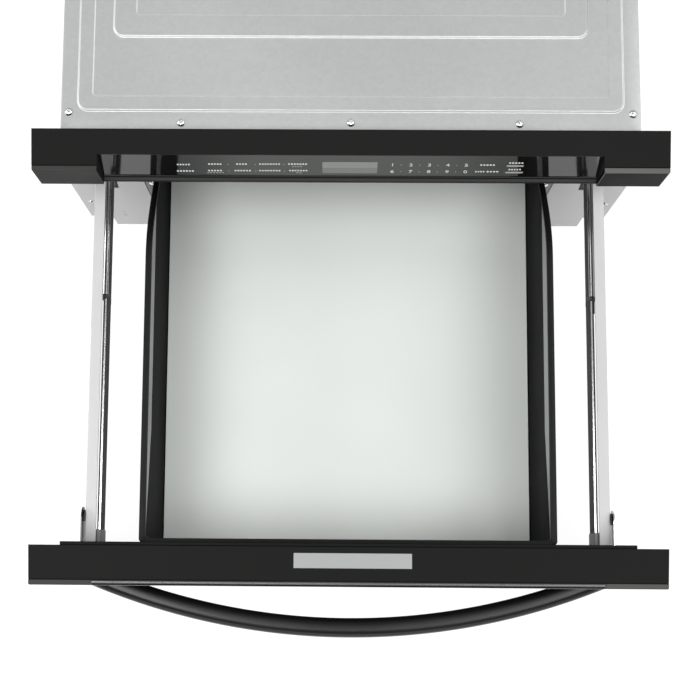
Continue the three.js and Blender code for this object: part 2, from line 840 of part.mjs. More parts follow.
function cavityLiner() {
  const centreY = frameBack + seat + mouthFlare;
  const band = (grow, y) =>
    ring(
      [cavityFloor - grow, cavityCeiling + grow],
      [-cavityHalf - grow, cavityHalf + grow],
      cavityCorner + grow,
      y,
    );
  // The turned edge is a quarter circle about a line in front of the wall, drawn at two radii.
  const turned = (radius) =>
    Array.from({ length: cornerSteps + 1 }, (_, i) => {
      const angle = ((Math.PI / 2) * i) / cornerSteps;
      return band(mouthFlare - radius * Math.sin(angle), centreY - radius * Math.cos(angle));
    });
  const outer = loft(
    [
      band(mouthFlare + mouthFlange, frameBack + seat),
      band(mouthFlare + mouthFlange, frameBack + seat + sheet),
      ...turned(mouthFlare - sheet),
      band(sheet, cavityBack + sheet),
    ],
    "y",
  );
  const inner = loft([band(mouthFlare, -sheet), ...turned(mouthFlare), band(0, cavityBack)], "y");
  const opening = stirrerOpening / 2;
  const hole = block(
    [-opening, opening],
    [stirrerY - opening, stirrerY + opening],
    [cavityCeiling - sheet, ceilingTop + sheet],
  );
  return cut(outer, inner, hole);
}

function stirrerCover() {
  const half = stirrerOpening / 2 - seat;
  return block([-half, half], [stirrerY - half, stirrerY + half], [cavityCeiling, ceilingTop - seat]);
}

// ---- Works ----

function waveguide() {
  const half = waveguideWidth / 2;
  const duct = block([-half, half], [waveguideStart, waveguideEnd], [waveguideFoot, waveguideTop]);
  const hollow = block(
    [sheet - half, half - sheet],
    [waveguideStart + sheet, waveguideEnd - sheet],
    [waveguideFoot + sheet, waveguideTop - sheet],
  );
  const opening = stirrerOpening / 2;
  const window = block(
    [-opening, opening],
    [stirrerY - opening, stirrerY + opening],
    [ceilingTop - sheet, ceilingTop + 2 * sheet],
  );
  const antenna = rod(antennaHole, "z", [ceilingTop - sheet, ceilingTop + 2 * sheet], [0, antennaY]);
  const shaftHole = stirrerShaft + stirrerShaftGap;
  const shaft = rod(shaftHole, "z", [waveguideTop - 2 * sheet, waveguideTop + sheet], [0, stirrerY], 16);
  return cut(duct, hollow, window, antenna, shaft);
}

function magnetron() {
  const half = magnetronWidth / 2;
  const wall = magnetronWall;
  const low = ceilingTop - magnetronHeight;
  const front = antennaY - magnetronDepth / 2;
  const back = Math.min(antennaY + magnetronDepth / 2, rearInside - sheet);
  const yoke = cut(
    block([-half, half], [front, back], [low, ceilingTop]),
    block([wall - half, half - wall], [front - 1, back + 1], [low + wall, ceilingTop - wall]),
  );
  const core = rod(magnetronCore, "z", [low, ceilingTop], [0, antennaY]);
  const antenna = rod(antennaRadius, "z", [ceilingTop - wall, ceilingTop + antennaRise], [0, antennaY]);
  const fins = [];
  for (let i = 1; i <= magnetronFins; i++) {
    const z = low + (i * magnetronHeight) / (magnetronFins + 1);
    fins.push(block([wall / 2 - half, half - wall / 2], [front + wall, back - wall], [z, z + sheet]));
  }
  return join(yoke, core, antenna, ...fins);
}

const stirrerMotorEnd = waveguideTop + seat + stirrerMotorHeight;
const stirrerBoreEnd = stirrerMotorEnd - stirrerMotorTop;

function stirrerMotor() {
  const foot = waveguideTop + seat;
  const can = rod(stirrerMotorRadius, "z", [foot, stirrerMotorEnd], [0, stirrerY]);
  const bore = rod(stirrerShaft + running, "z", [foot - 1, stirrerBoreEnd], [0, stirrerY], 16);
  return cut(can, bore);
}

function stirrerBlade() {
  const bladeZ = waveguideTop - stirrerDrop;
  const hubHalf = stirrerHubHeight / 2;
  const shaft = rod(stirrerShaft, "z", [bladeZ, stirrerBoreEnd - stirrerShaftGap], [0, stirrerY], 16);
  const hub = rod(stirrerHub, "z", [bladeZ - hubHalf, bladeZ + hubHalf], [0, stirrerY], 16);
  const blades = Array.from({ length: stirrerBlades }, (_, i) => {
    const blade = new THREE.BoxGeometry(stirrerRadius, stirrerBladeWidth, sheet);
    blade.translate(stirrerRadius / 2, 0, 0).rotateX(stirrerBladeTilt);
    blade.rotateZ((i * 2 * Math.PI) / stirrerBlades).translate(0, stirrerY, bladeZ);
    return solidFrom(blade);
  });
  return join(shaft, hub, ...blades);
}

function transformer() {
  const [halfLength, halfWidth] = [transformerLength / 2, transformerWidth / 2];
  const core = block(
    [transformerX - halfLength, transformerX + halfLength],
    [transformerY - halfWidth, transformerY + halfWidth],
    [panFloor, panFloor + transformerHeight],
  );
  const leg = halfLength / 2;
  const winding = extrude(
    roundedOutline(
      [transformerX - halfLength + leg, transformerX + halfLength - leg],
      [transformerY - halfWidth - windingOverhang, transformerY + halfWidth + windingOverhang],
      windingCorner,
    ),
    "z",
    [panFloor + leg / 2, panFloor + transformerHeight - leg / 2],
  );
  const foot = block(
    [transformerX - halfLength - windingOverhang, transformerX + halfLength + windingOverhang],
    [transformerY - halfWidth / 2, transformerY + halfWidth / 2],
    [panFloor, panFloor + transformerFoot],
  );
  return join(core, winding, foot);
}

function capacitor() {
  const xs = [capacitorX - capacitorWidth / 2, capacitorX + capacitorWidth / 2];
  const ys = [capacitorY - capacitorDepth / 2, capacitorY + capacitorDepth / 2];
  const top = panFloor + capacitorHeight;
  const can = extrude(roundedOutline(xs, ys, capacitorDepth / 2 - 1), "z", [panFloor, top]);
  const halfTab = capacitorTabThickness / 2;
  const tabs = sides.map(({ side }) => {
    const x = capacitorX + (side * capacitorWidth) / 4;
    return block(
      [x - capacitorTab / 2, x + capacitorTab / 2],
      [capacitorY - halfTab, capacitorY + halfTab],
      [top - 1, top + capacitorTabHeight],
    );
  });
  return join(can, ...tabs);
}

function mainsFilter() {
  const [halfWidth, halfDepth] = [filterWidth / 2, filterDepth / 2];
  const foot = panFloor + filterStandoff;
  const top = foot + boardThickness;
  const board = block(
    [filterX - halfWidth, filterX + halfWidth],
    [filterY - halfDepth, filterY + halfDepth],
    [foot, top],
  );
  const posts = sides.flatMap((across) =>
    sides.map((along) => {
      const x = filterX + across.side * (halfWidth - postInset);
      const y = filterY + along.side * (halfDepth - postInset);
      return rod(postRadius, "z", [panFloor, top - boardThickness / 2], [x, y], 8);
    }),
  );
  const choke = rod(chokeRadius, "z", [foot, top + chokeHeight], [filterX + chokeShift, filterY], 16);
  const boxX = filterX - filterBoxShift;
  const box = block(
    [boxX - filterBox / 2, boxX + filterBox / 2],
    [filterY - filterBox / 2, filterY + filterBox / 2],
    [foot, top + filterBoxHeight],
  );
  return join(board, ...posts, choke, box);
}

const fanFront = rearInside - fanDepth;
const fanBack = rearInside - seat;
const motorFace = rearInside - fanMotorDepth; // front of the fan's motor
const fanShaftEnd = rearInside - fanMotorBack;

function fanHousing() {
  const half = fanSize / 2;
  const square = roundedOutline([fanX - half, fanX + half], [fanZ - half, fanZ + half], fanCorner);
  const frame = extrude(square, "y", [fanFront, fanBack]);
  const bore = rod(fanBore, "y", [fanFront - 1, rearInside + 1], [fanX, fanZ], 36);
  const motor = rod(fanMotor, "y", [motorFace, fanBack], [fanX, fanZ]);
  const struts = Array.from({ length: fanStruts }, (_, i) => {
    const strut = new THREE.BoxGeometry(fanBore + 2, fanStrut, fanStrut).translate(fanBore / 2, 0, 0);
    strut.rotateY((i * 2 * Math.PI) / fanStruts + fanStrutTurn);
    return solidFrom(strut.translate(fanX, rearInside - fanStrut / 2 - 2 * seat, fanZ));
  });
  const shaftBore = rod(fanShaft + running, "y", [motorFace - 1, fanShaftEnd], [fanX, fanZ], 12);
  return cut(join(cut(frame, bore), motor, ...struts), shaftBore);
}

function fanImpeller() {
  const front = fanFront + fanHubSetback;
  const back = motorFace - fanMotorGap;
  const hub = rod(fanHub, "y", [front, back], [fanX, fanZ]);
  const shaft = rod(fanShaft, "y", [back - 1, fanShaftEnd - fanMotorBack], [fanX, fanZ], 12);
  const reach = fanBore - fanTipGap;
  const root = fanHub - fanHubSetback; // the blades begin inside the hub
  const blades = Array.from({ length: fanBlades }, (_, i) => {
    const blade = new THREE.BoxGeometry(reach - root, fanBladeThickness, fanBladeChord);
    blade.translate((reach + root) / 2, 0, 0).rotateX(fanBladeTwist);
    blade.rotateY((i * 2 * Math.PI) / fanBlades).translate(fanX, (front + back) / 2, fanZ);
    return solidFrom(blade);
  });
  const sweep = rod(reach, "y", [front, back], [fanX, fanZ], 36);
  return join(hub, shaft, ...blades).intersect(join(sweep, shaft));
}

function cavityLamp() {
  const across = [lampX - lampWidth / 2, lampX + lampWidth / 2];
  const along = [lampY - lampLength / 2, lampY + lampLength / 2];
  const hood = cut(
    block(across, along, [ceilingTop + seat, ceilingTop + lampHeight]),
    block(
      [across[0] + sheet, across[1] - sheet],
      [along[0] + sheet, along[1] - sheet],
      [ceilingTop - 1, ceilingTop + lampHeight - sheet],
    ),
  );
  const bulbZ = ceilingTop + lampHeight / 2;
  const bulb = rod(bulbRadius, "y", [along[0] + sheet / 2, lampY + bulbReach], [lampX, bulbZ], 16);
  const socket = rod(socketRadius, "y", [along[0] - socketLength, along[0] + sheet], [lampX, bulbZ], 16);
  return join(hood, bulb, socket);
}

// ---- Drawer drive ----

const involute = (angle) => Math.tan(angle) - angle;

function pinion() {
  const baseRadius = pitchRadius * Math.cos(pressureAngle);
  const tipRadius = pitchRadius + addendum;
  const rootRadius = pitchRadius - dedendum;
  const pitchHalf = Math.PI / (2 * pinionTeeth) - toothBacklash / (4 * pitchRadius);
  const halfAngle = (radius) => {
    const angle = Math.acos(Math.min(1, baseRadius / radius));
    return pitchHalf + involute(pressureAngle) - involute(angle);
  };
  const flankSteps = 3;
  const flank = [rootRadius];
  for (let i = 0; i <= flankSteps; i++) {
    flank.push(baseRadius + ((tipRadius - baseRadius) * i) / flankSteps);
  }
  const points = [];
  for (let tooth = 0; tooth < pinionTeeth; tooth++) {
    // A space between two teeth faces straight up, where a rack tooth stands.
    const middle = Math.PI / 2 + ((tooth + 0.5) * 2 * Math.PI) / pinionTeeth;
    const at = (radius, sign) => {
      const angle = middle + sign * halfAngle(Math.max(radius, baseRadius));
      return [pinionY + radius * Math.cos(angle), pinionZ + radius * Math.sin(angle)];
    };
    points.push(...flank.map((radius) => at(radius, -1)));
    points.push(...flank.map((radius) => at(radius, 1)).reverse());
  }
  const half = rackWidth / 2;
  const gear = extrude(outline(points), "x", [rackX - half, rackX + half]);
  const shaft = rod(
    shaftRadius,
    "x",
    [rackX + half - 1, rackX + half + pinionShaft],
    [pinionY, pinionZ],
    20,
  );
  return join(gear, shaft);
}

function driveRack() {
  const slope = Math.tan(pressureAngle);
  const pitchHalf = toothPitch / 4 - toothBacklash / 4;
  const tip = rackPitchLine - addendum;
  const root = rackPitchLine + dedendum;
  const tipHalf = pitchHalf - addendum * slope;
  const rootHalf = pitchHalf + dedendum * slope;
  // With the drawer open one tooth stands straight above the pinion's axle.
  const above = pinionY + drawerTravel;
  const first = -Math.floor((above - toothPitch) / toothPitch);
  const last = Math.floor((rackEnd - rootHalf - above) / toothPitch);
  const points = [[onPanel, root]];
  for (let i = first; i <= last; i++) {
    const y = above + i * toothPitch;
    points.push([y - rootHalf, root], [y - tipHalf, tip], [y + tipHalf, tip], [y + rootHalf, root]);
  }
  points.push([rackEnd, root], [rackEnd, rackTop], [onPanel, rackTop]);
  return extrude(outline(points), "x", [rackX - rackWidth / 2, rackX + rackWidth / 2]);
}

const guideTop = rackTop + running + guideWall;

function driveBracket() {
  const ys = [driveStart, driveStart + driveLength];
  const foot = plateX - driveSheet;
  const bend = outline([
    [foot, panFloor],
    [plateX + motorLength, panFloor],
    [plateX + motorLength, panFloor + driveSheet],
    [plateX, panFloor + driveSheet],
    [plateX, guideTop],
    [foot, guideTop],
  ]);
  const hole = rod(shaftRadius + 1, "x", [foot - driveSheet, plateX + driveSheet], [pinionY, pinionZ], 20);
  return cut(extrude(bend, "y", ys), hole);
}

function driveGearbox() {
  const ys = [driveStart + gearboxInset, driveStart + driveLength - gearboxInset];
  const zs = [pinionZ - gearboxHeight / 2, pinionZ + gearboxHeight / 2];
  const shape = roundedOutline(ys, zs, gearboxCorner);
  const housing = extrude(shape, "x", [plateX + seat, plateX + gearboxLength]);
  const shaftEnd = rackX + rackWidth / 2 + pinionShaft;
  const bore = rod(shaftRadius + running, "x", [plateX - 1, shaftEnd + 1], [pinionY, pinionZ], 20);
  return cut(housing, bore);
}

function driveMotor() {
  const start = plateX + gearboxLength + seat;
  const end = start + motorLength;
  const centre = [driveStart + driveLength / 2, pinionZ];
  const can = rod(motorRadius, "x", [start, end], centre);
  const boss = rod(motorBoss, "x", [end - 1, end + motorBossLength], centre, 16);
  return join(can, boss);
}

function rackGuide() {
  const inner = plateX - driveSheet - seat; // against the upright
  const outerLeg = rackX - rackWidth / 2 - running;
  const legFoot = rackTop - guideDrop;
  const innerLeg = rackX + rackWidth / 2 + running - seat;
  const shape = outline([
    [outerLeg - guideWall, guideTop],
    [outerLeg - guideWall, legFoot],
    [outerLeg, legFoot],
    [outerLeg, rackTop + running],
    [innerLeg, rackTop + running],
    [inner, rackTop + running],
    [inner, guideTop],
  ]);
  return extrude(shape, "y", [driveStart, driveStart + driveLength]);
}

// ---- Slides ----

// A channel seen from its end, open towards the middle plane: [inner x, outer x], [bottom z, top z].
function channelOutline(side, [inner, outer], [bottom, top], wall) {
  return outline([
    [side * inner, top],
    [side * outer, top],
    [side * outer, bottom],
    [side * inner, bottom],
    [side * inner, bottom + wall],
    [side * (outer - wall), bottom + wall],
    [side * (outer - wall), top - wall],
    [side * inner, top - wall],
  ]);
}

const middleOuter = railInner + railFlange + running + middleSheet;
const middleEnd = railBack + middlePast;
const middleTop = railTop + running + middleSheet;
const middleBottom = railBottom - running - middleSheet;
const cabinetOuter = middleOuter + running + railSheet;
const cabinetTop = middleTop + running + railSheet;
const cabinetBottom = middleBottom - running - railSheet;

function drawerRail(side) {
  const lip = railInner + railFlange;
  const crown = railInner + railCrown;
  // The lips' outlines, from the web outwards: the flat crown, then the edge that turns down.
  const upper = [
    [lip, railTop - railEdgeDrop],
    [crown, railTop],
    [railInner, railTop],
  ];
  const lower = [
    [railInner, railBottom],
    [crown, railBottom],
    [lip, railBottom + railEdgeDrop],
  ];
  const hollow = [
    [lip, railBottom + railEdgeDrop + railSheet],
    [crown, railBottom + railSheet],
    [railInner + railSheet, railBottom + railSheet],
    [railInner + railSheet, railTop - railSheet],
    [crown, railTop - railSheet],
    [lip, railTop - railEdgeDrop - railSheet],
  ];
  const shape = outline([...upper, ...lower, ...hollow].map(([x, z]) => [side * x, z]));
  return extrude(shape, "y", [railStart, railBack]);
}

function middleChannel(side, ys) {
  const shape = channelOutline(side, [railInner, middleOuter], [middleBottom, middleTop], middleSheet);
  return extrude(shape, "y", ys);
}

function cabinetRail(side) {
  const ys = [cabinetRailStart, railBack];
  const zs = [cabinetBottom, cabinetTop];
  const channel = channelOutline(side, [railInner, cabinetOuter], zs, railSheet);
  const footTop = cabinetTop - footDrop;
  const footOuter = panelInside - seat;
  const foot = outline([
    [side * (cabinetOuter - railSheet / 2), footTop],
    [side * footOuter, footTop],
    [side * footOuter, footTop - footHeight],
    [side * (footOuter - railSheet), footTop - footHeight],
    [side * (footOuter - railSheet), footTop - railSheet],
    [side * (cabinetOuter - railSheet / 2), footTop - railSheet],
  ]);
  return join(extrude(channel, "y", ys), extrude(foot, "y", ys));
}

function slotGuard(side) {
  const guardInner = railInner - guardInset;
  const guardOuter = guardInner + guardFin;
  const bottom = slotBottom + guardRise;
  const top = bottom + guardHeight;
  const face = frameBack + seat;
  const plate = extrude(
    outline([
      [side * guardOuter, bottom],
      [side * guardOuter, top],
      [side * guardInner, top],
      [side * (guardInner - guardLedge), bottom],
    ]),
    "y",
    [face, frameBack + guardPlate],
  );
  const fin = extrude(
    outline([
      [face, bottom],
      [frameBack + guardDepth, bottom],
      [face, top],
    ]),
    "x",
    [side * guardInner, side * guardOuter],
  );
  return join(plate, fin);
}

function sideArm(side) {
  const armInner = railInner + railFlange - seat;
  const armTop = railTop + armRise;
  const outer = armInner + armWidth;
  const shape = outline([
    [side * armInner, armTop],
    [side * outer, armTop],
    [side * outer, armTop - armWebHeight],
    [side * (outer - railSheet), armTop - armWebHeight],
    [side * (outer - railSheet), armTop - railSheet],
    [side * armInner, armTop - railSheet],
  ]);
  return extrude(shape, "y", [onPanel, railBack - armShort]);
}

function railBlock(side) {
  const inner = railInner - blockWall;
  const body = block(
    [side * inner, side * (inner + blockWidth)],
    [onPanel, onPanel + blockLength],
    [railBottom - blockUnder, railTop + blockOver],
  );
  const socket = block(
    [side * (railInner - seat), side * (railInner + railFlange + seat)],
    [railStart - seat, everywhere],
    [railBottom - seat, railTop + seat],
  );
  return cut(body, socket);
}

function bracketOutline(from, reach, radius) {
  const shape = new THREE.Shape();
  const centre = reach - radius;
  shape.moveTo(from, bracketMiddle + radius);
  shape.lineTo(from, bracketMiddle - radius);
  shape.absarc(centre, bracketMiddle, radius, -Math.PI / 2, Math.PI / 2);
  shape.closePath();
  return shape;
}

const bracketTip = onPanel + bracketReach;

function frontBracket(side) {
  const shape = bracketOutline(onPanel, bracketTip, bracketHeight / 2);
  return extrude(shape, "x", [side * bracketInner, side * (bracketInner + bracketSheet)]);
}

function bracketCap(side) {
  const reach = bracketTip - capMargin;
  const shape = bracketOutline(reach - capRadius - capMargin, reach, capRadius);
  return extrude(shape, "x", [side * (bracketInner - capThickness), side * (bracketInner - seat)]);
}

function interlockSwitch(side) {
  const start = bracketTip + switchGap + plungerLength;
  const body = block(
    [side * (bracketInner - switchInset), side * (panelInside - seat)],
    [start, start + switchLength],
    [bracketMiddle - switchHeight / 2, bracketMiddle + switchHeight / 2],
  );
  const plunger = block(
    [side * bracketInner, side * (bracketInner + bracketSheet)],
    [start - plungerLength, start],
    [bracketMiddle - plungerHeight / 2, bracketMiddle + plungerHeight / 2],
  );
  return join(body, plunger);
}

// ---- Drawer ----

function drawerShell() {
  const rear = -shellToFlange;
  const outer = faceBlock([rear, shellFront], [drawerFoot, drawerTop]);
  const half = halfFace - faceTaper - drawerWall;
  const hollow = block(
    [-half, half],
    [shellFront + drawerWall, rear - drawerWall],
    [drawerFoot + drawerWall, drawerTop - drawerWall],
  );
  const opening = block(
    [shellLip - innerPanelHalf, innerPanelHalf - shellLip],
    [rear - 2 * drawerWall, rear + 1],
    [drawerFoot + shellLip, drawerTop - shellLip],
  );
  return cut(outer, hollow, opening);
}

function frontFascia() {
  const plate = faceBlock([plateBack, -faceProjection], [drawerFoot, drawerTop], edgeChamfer);
  const half = trimWidth / 2 + seat;
  const step = block([-half, half], [-everywhere, everywhere], [drawerTop - trimThickness, everywhere]);
  const inside = halfFace - faceTaper - fasciaSheet;
  const hollow = block(
    [-inside, inside],
    [fasciaSheet - faceProjection, everywhere],
    [drawerFoot + fasciaSheet, drawerTop - fasciaSheet],
  );
  return cut(plate, hollow, step);
}

function trimStrip() {
  return block(
    [-trimWidth / 2, trimWidth / 2],
    [trimInset - faceProjection, plateBack - trimInset],
    [drawerTop - trimThickness + seat, drawerTop],
  );
}

function innerPanel() {
  const ys = [seat - shellToFlange, panelRear];
  const zs = [drawerFoot + innerPanelFoot, drawerTop - innerPanelDrop];
  const plate = block([-innerPanelHalf, innerPanelHalf], ys, zs);
  const outer = innerPanelHalf - chokeInset;
  const inner = outer - chokeGroove;
  const top = zs[1] - chokeTopInset;
  const bottom = mouthBottom - chokeUnder;
  const groove = cut(
    block([-outer, outer], [panelRear - chokeDepth, everywhere], [bottom, top]),
    block([-inner, inner], [-everywhere, 2 * everywhere], [bottom + chokeGroove, top - chokeGroove]),
  );
  return cut(plate, groove);
}

function bowHandle() {
  const centreY = bowRadius - faceProjection - bowProjection;
  const centreZ = drawerTop - bowDrop;
  const inner = bowRadius - bowThickness;
  const section = roundedOutline([inner, bowRadius], [-bowHeight / 2, bowHeight / 2], bowEdge);
  const profile = section.getPoints(cornerSteps);
  profile.push(profile[0].clone());
  const turns = 180;
  const hoop = new THREE.LatheGeometry(profile, turns);
  hoop.rotateX(Math.PI / 2).translate(0, centreY, centreZ);
  const front = block(
    [-halfFace, halfFace],
    [-faceProjection - seat, -faceProjection - 2 * bowProjection],
    [drawerFoot, drawerTop],
  );
  return solidFrom(hoop).intersect(front);
}

// Height of the side walls' rim at a depth y.
function rimAt(y) {
  const t = THREE.MathUtils.clamp((y - rimDropStart) / rimDropLength, 0, 1);
  return binRim - (rimDrop * (1 - Math.cos(Math.PI * t))) / 2;
}

function bin() {
  const half = binInnerHalf;
  const wallOuter = half + binWall;
  const floorTop = binBottom + binFloor;
  const front = onPanel;
  const innerFront = front + binFrontWall;
  const innerBack = binBack - binWall;
  const outerCorner = binCorner + binWall;
  const tubOutline = roundedOutline([-wallOuter, wallOuter], [front, binBack], outerCorner);
  const tub = extrude(tubOutline, "z", [binBottom, binRim]);
  const rimBack = binBack + binHalf - wallOuter;
  const rimOutline = roundedOutline([-binHalf, binHalf], [front, rimBack], outerCorner);
  const rim = extrude(rimOutline, "z", [floorTop, binRim]);
  const inside = extrude(
    roundedOutline([-half, half], [innerFront, innerBack], binCorner),
    "z",
    [floorTop, binRim + 1],
  );
  // Everything above the rim's line, drawn from the side, and the same line lowered by the rim's depth.
  const steps = 16;
  const last = binBack + 2 * binWall;
  const line = (drop) => {
    const points = [];
    for (let i = 0; i <= steps; i++) {
      const y = rimDropStart + ((last - rimDropStart) * i) / steps;
      points.push([y, rimAt(y) - drop]);
    }
    return points;
  };
  const before = front - 1;
  const above = outline([[before, binRim], ...line(0), [last, binRim + 2], [before, binRim + 2]]);
  const beadFoot = [before, binRim - binRimDepth];
  const below = outline([beadFoot, ...line(binRimDepth), [last, 0], [before, 0]]);
  const wide = [-everywhere, everywhere];
  const bead = cut(rim, extrude(below, "x", wide));
  return cut(join(tub, bead), inside, extrude(above, "x", wide));
}

function glassFloor() {
  const half = binInnerHalf - floorGlassGap;
  const ys = [onPanel + binFrontWall + floorGlassGap, binBack - binWall - floorGlassGap];
  const low = binBottom + binFloor + seat;
  return extrude(roundedOutline([-half, half], ys, binCorner), "z", [low, low + floorGlass]);
}

function cordGland() {
  const face = rearInside - seat - glandFlangeThickness;
  const flange = rod(glandFlange, "y", [face, rearInside - seat], [glandX, glandZ]);
  const barrel = rod(glandRadius, "y", [face, bodyDepth - seat], [glandX, glandZ]);
  const bore = rod(glandRadius / 2, "y", [rearInside - glandLength, bodyDepth + 1], [glandX, glandZ], 16);
  return cut(join(flange, barrel), bore);
}

// ---- Assembly ----

const microwaveDrawer = new THREE.Group();
const cabinet = new THREE.Group();
cabinet.position.y = -bodyDepth / 2;
microwaveDrawer.add(cabinet);

piece(cabinet, "top_cover", topCover(), "galvanised");
piece(cabinet, "back_panel", backPanel(), "galvanised");
piece(cabinet, "base_pan", basePan(), "palePaint");
piece(cabinet, "front_frame", frontFrame(), "palePaint");
piece(cabinet, "header_shell", headerShell(), "blackSteel");
piece(cabinet, "control_glass", controlGlass(), "blackGlass");
piece(cabinet, "display_window", displayWindow(), "blackGlass");
piece(cabinet, "control_board", controlBoard(), "boardGreen");
piece(cabinet, "cavity_liner", cavityLiner(), "cavityEnamel");
piece(cabinet, "stirrer_cover", stirrerCover(), "mica");
piece(cabinet, "waveguide", waveguide(), "galvanised");
piece(cabinet, "stirrer_motor", stirrerMotor(), "zincSteel");
piece(cabinet, "magnetron", magnetron(), "zincSteel");
piece(cabinet, "transformer", transformer(), "copper");
piece(cabinet, "capacitor", capacitor(), "zincSteel");
piece(cabinet, "mains_filter", mainsFilter(), "boardGreen");
piece(cabinet, "fan_housing", fanHousing(), "blackPlastic");
piece(cabinet, "cavity_lamp", cavityLamp(), "zincSteel");
piece(cabinet, "drive_bracket", driveBracket(), "zincSteel");
piece(cabinet, "drive_gearbox", driveGearbox(), "whitePlastic");
piece(cabinet, "drive_motor", driveMotor(), "zincSteel");
piece(cabinet, "rack_guide", rackGuide(), "whitePlastic");
piece(cabinet, "cord_gland", cordGland(), "blackPlastic");
for (const { hand, side } of sides) {
  piece(cabinet, `${hand}_side_panel`, sidePanel(side), "galvanised");
  piece(cabinet, `${hand}_header_plate`, headerPlate(side), "blackSteel");
  piece(cabinet, `${hand}_cabinet_rail`, cabinetRail(side), "zincSteel");
  piece(cabinet, `${hand}_slot_guard`, slotGuard(side), "blackPlastic");
  piece(cabinet, `${hand}_interlock_switch`, interlockSwitch(side), "blackPlastic");
}

piece(cabinet, "drive_pinion", pinion(), "whitePlastic");
piece(cabinet, "fan_impeller", fanImpeller(), "greyPlastic");
piece(cabinet, "stirrer_blade", stirrerBlade(), "brightSteel");

// The drawer stands open by its whole travel, and the middle rails by half of it.
const drawer = new THREE.Group();
drawer.position.y = -drawerTravel;
cabinet.add(drawer);
piece(drawer, "drawer_shell", drawerShell(), "blackSteel");
piece(drawer, "front_fascia", frontFascia(), "blackSteel");
piece(drawer, "front_trim_strip", trimStrip(), "brightSteel");
piece(drawer, "inner_panel", innerPanel(), "blackPlastic");
piece(drawer, "bow_handle", bowHandle(), "blackSteel");
piece(drawer, "bin", bin(), "blackPlastic");
piece(drawer, "glass_floor", glassFloor(), "floorGlass");
piece(drawer, "drive_rack", driveRack(), "whitePlastic");
for (const { hand, side } of sides) {
  piece(drawer, `${hand}_side_arm`, sideArm(side), "palePaint");
  piece(drawer, `${hand}_drawer_rail`, drawerRail(side), "palePaint");
  piece(drawer, `${hand}_rail_block`, railBlock(side), "greyPlastic");
  piece(drawer, `${hand}_front_bracket`, frontBracket(side), "brightSteel");
  piece(drawer, `${hand}_bracket_cap`, bracketCap(side), "blackPlastic");
}

const middleRails = new THREE.Group();
middleRails.position.y = -drawerTravel / 2;
cabinet.add(middleRails);
for (const { hand, side } of sides) {
  const stop = [middleStart, middleStart + stopLength];
  const rail = [stop[1] + seat, middleEnd];
  piece(middleRails, `${hand}_middle_rail`, middleChannel(side, rail), "brightSteel");
  piece(middleRails, `${hand}_rail_stop`, middleChannel(side, stop), "blackPlastic");
}

export default microwaveDrawer;
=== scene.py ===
import json
import math

import bmesh
import bpy
import numpy as np
from mathutils import Matrix, Vector

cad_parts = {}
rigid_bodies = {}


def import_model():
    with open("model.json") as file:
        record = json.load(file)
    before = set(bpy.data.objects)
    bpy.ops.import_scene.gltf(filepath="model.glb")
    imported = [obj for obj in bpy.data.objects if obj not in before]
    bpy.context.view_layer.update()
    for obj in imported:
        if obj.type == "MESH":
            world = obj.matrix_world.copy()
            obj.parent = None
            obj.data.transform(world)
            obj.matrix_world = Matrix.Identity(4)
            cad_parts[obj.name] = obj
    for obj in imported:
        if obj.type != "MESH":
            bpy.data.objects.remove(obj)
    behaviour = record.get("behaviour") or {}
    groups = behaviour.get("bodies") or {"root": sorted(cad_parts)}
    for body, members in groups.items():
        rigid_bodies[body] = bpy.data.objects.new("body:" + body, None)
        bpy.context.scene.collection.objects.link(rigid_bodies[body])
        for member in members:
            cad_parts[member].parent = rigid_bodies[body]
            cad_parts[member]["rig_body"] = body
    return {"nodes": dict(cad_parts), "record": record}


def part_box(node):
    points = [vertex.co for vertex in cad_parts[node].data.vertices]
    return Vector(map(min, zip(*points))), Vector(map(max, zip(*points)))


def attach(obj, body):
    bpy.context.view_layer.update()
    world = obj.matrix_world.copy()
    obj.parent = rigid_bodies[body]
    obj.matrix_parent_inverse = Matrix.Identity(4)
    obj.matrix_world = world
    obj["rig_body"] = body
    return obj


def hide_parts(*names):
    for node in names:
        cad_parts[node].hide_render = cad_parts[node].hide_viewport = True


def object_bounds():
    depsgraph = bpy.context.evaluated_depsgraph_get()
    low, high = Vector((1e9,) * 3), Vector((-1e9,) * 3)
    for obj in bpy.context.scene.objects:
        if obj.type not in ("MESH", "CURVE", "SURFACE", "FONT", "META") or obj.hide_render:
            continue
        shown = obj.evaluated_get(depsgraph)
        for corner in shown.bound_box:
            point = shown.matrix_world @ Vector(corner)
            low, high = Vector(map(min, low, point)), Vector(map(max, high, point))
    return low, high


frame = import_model()
nodes = frame["nodes"]
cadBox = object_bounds()
mm = 0.001
print("frame loaded:", len(nodes), "nodes")


def addObject(name, data):
    piece = bpy.data.objects.new(name, data)
    bpy.context.scene.collection.objects.link(piece)
    return piece


def readTriples(items, key):
    # The same three numbers of every item, as an array.
    values = np.empty(len(items) * 3)
    items.foreach_get(key, values)
    return values.reshape(-1, 3)


def meshObject(name, points, faces, sharpAngle=32):
    # A mesh from an array of points and a list of faces, smooth except where it bends past the angle.
    mesh = bpy.data.meshes.new(name)
    mesh.from_pydata(points.tolist(), [], faces)
    mesh.validate()
    mesh.shade_smooth()
    mesh.set_sharp_from_angle(angle=math.radians(sharpAngle))
    return addObject(name, mesh)


def gridFaces(rows, columns):
    # Quads between neighbouring rows of a grid whose columns run round and meet.
    r, c = np.meshgrid(np.arange(rows - 1), np.arange(columns), indexing="ij")
    right = (c + 1) % columns
    near, far = r * columns, (r + 1) * columns
    quads = np.stack([near + c, near + right, far + right, far + c], axis=-1)
    return quads.reshape(-1, 4).tolist()


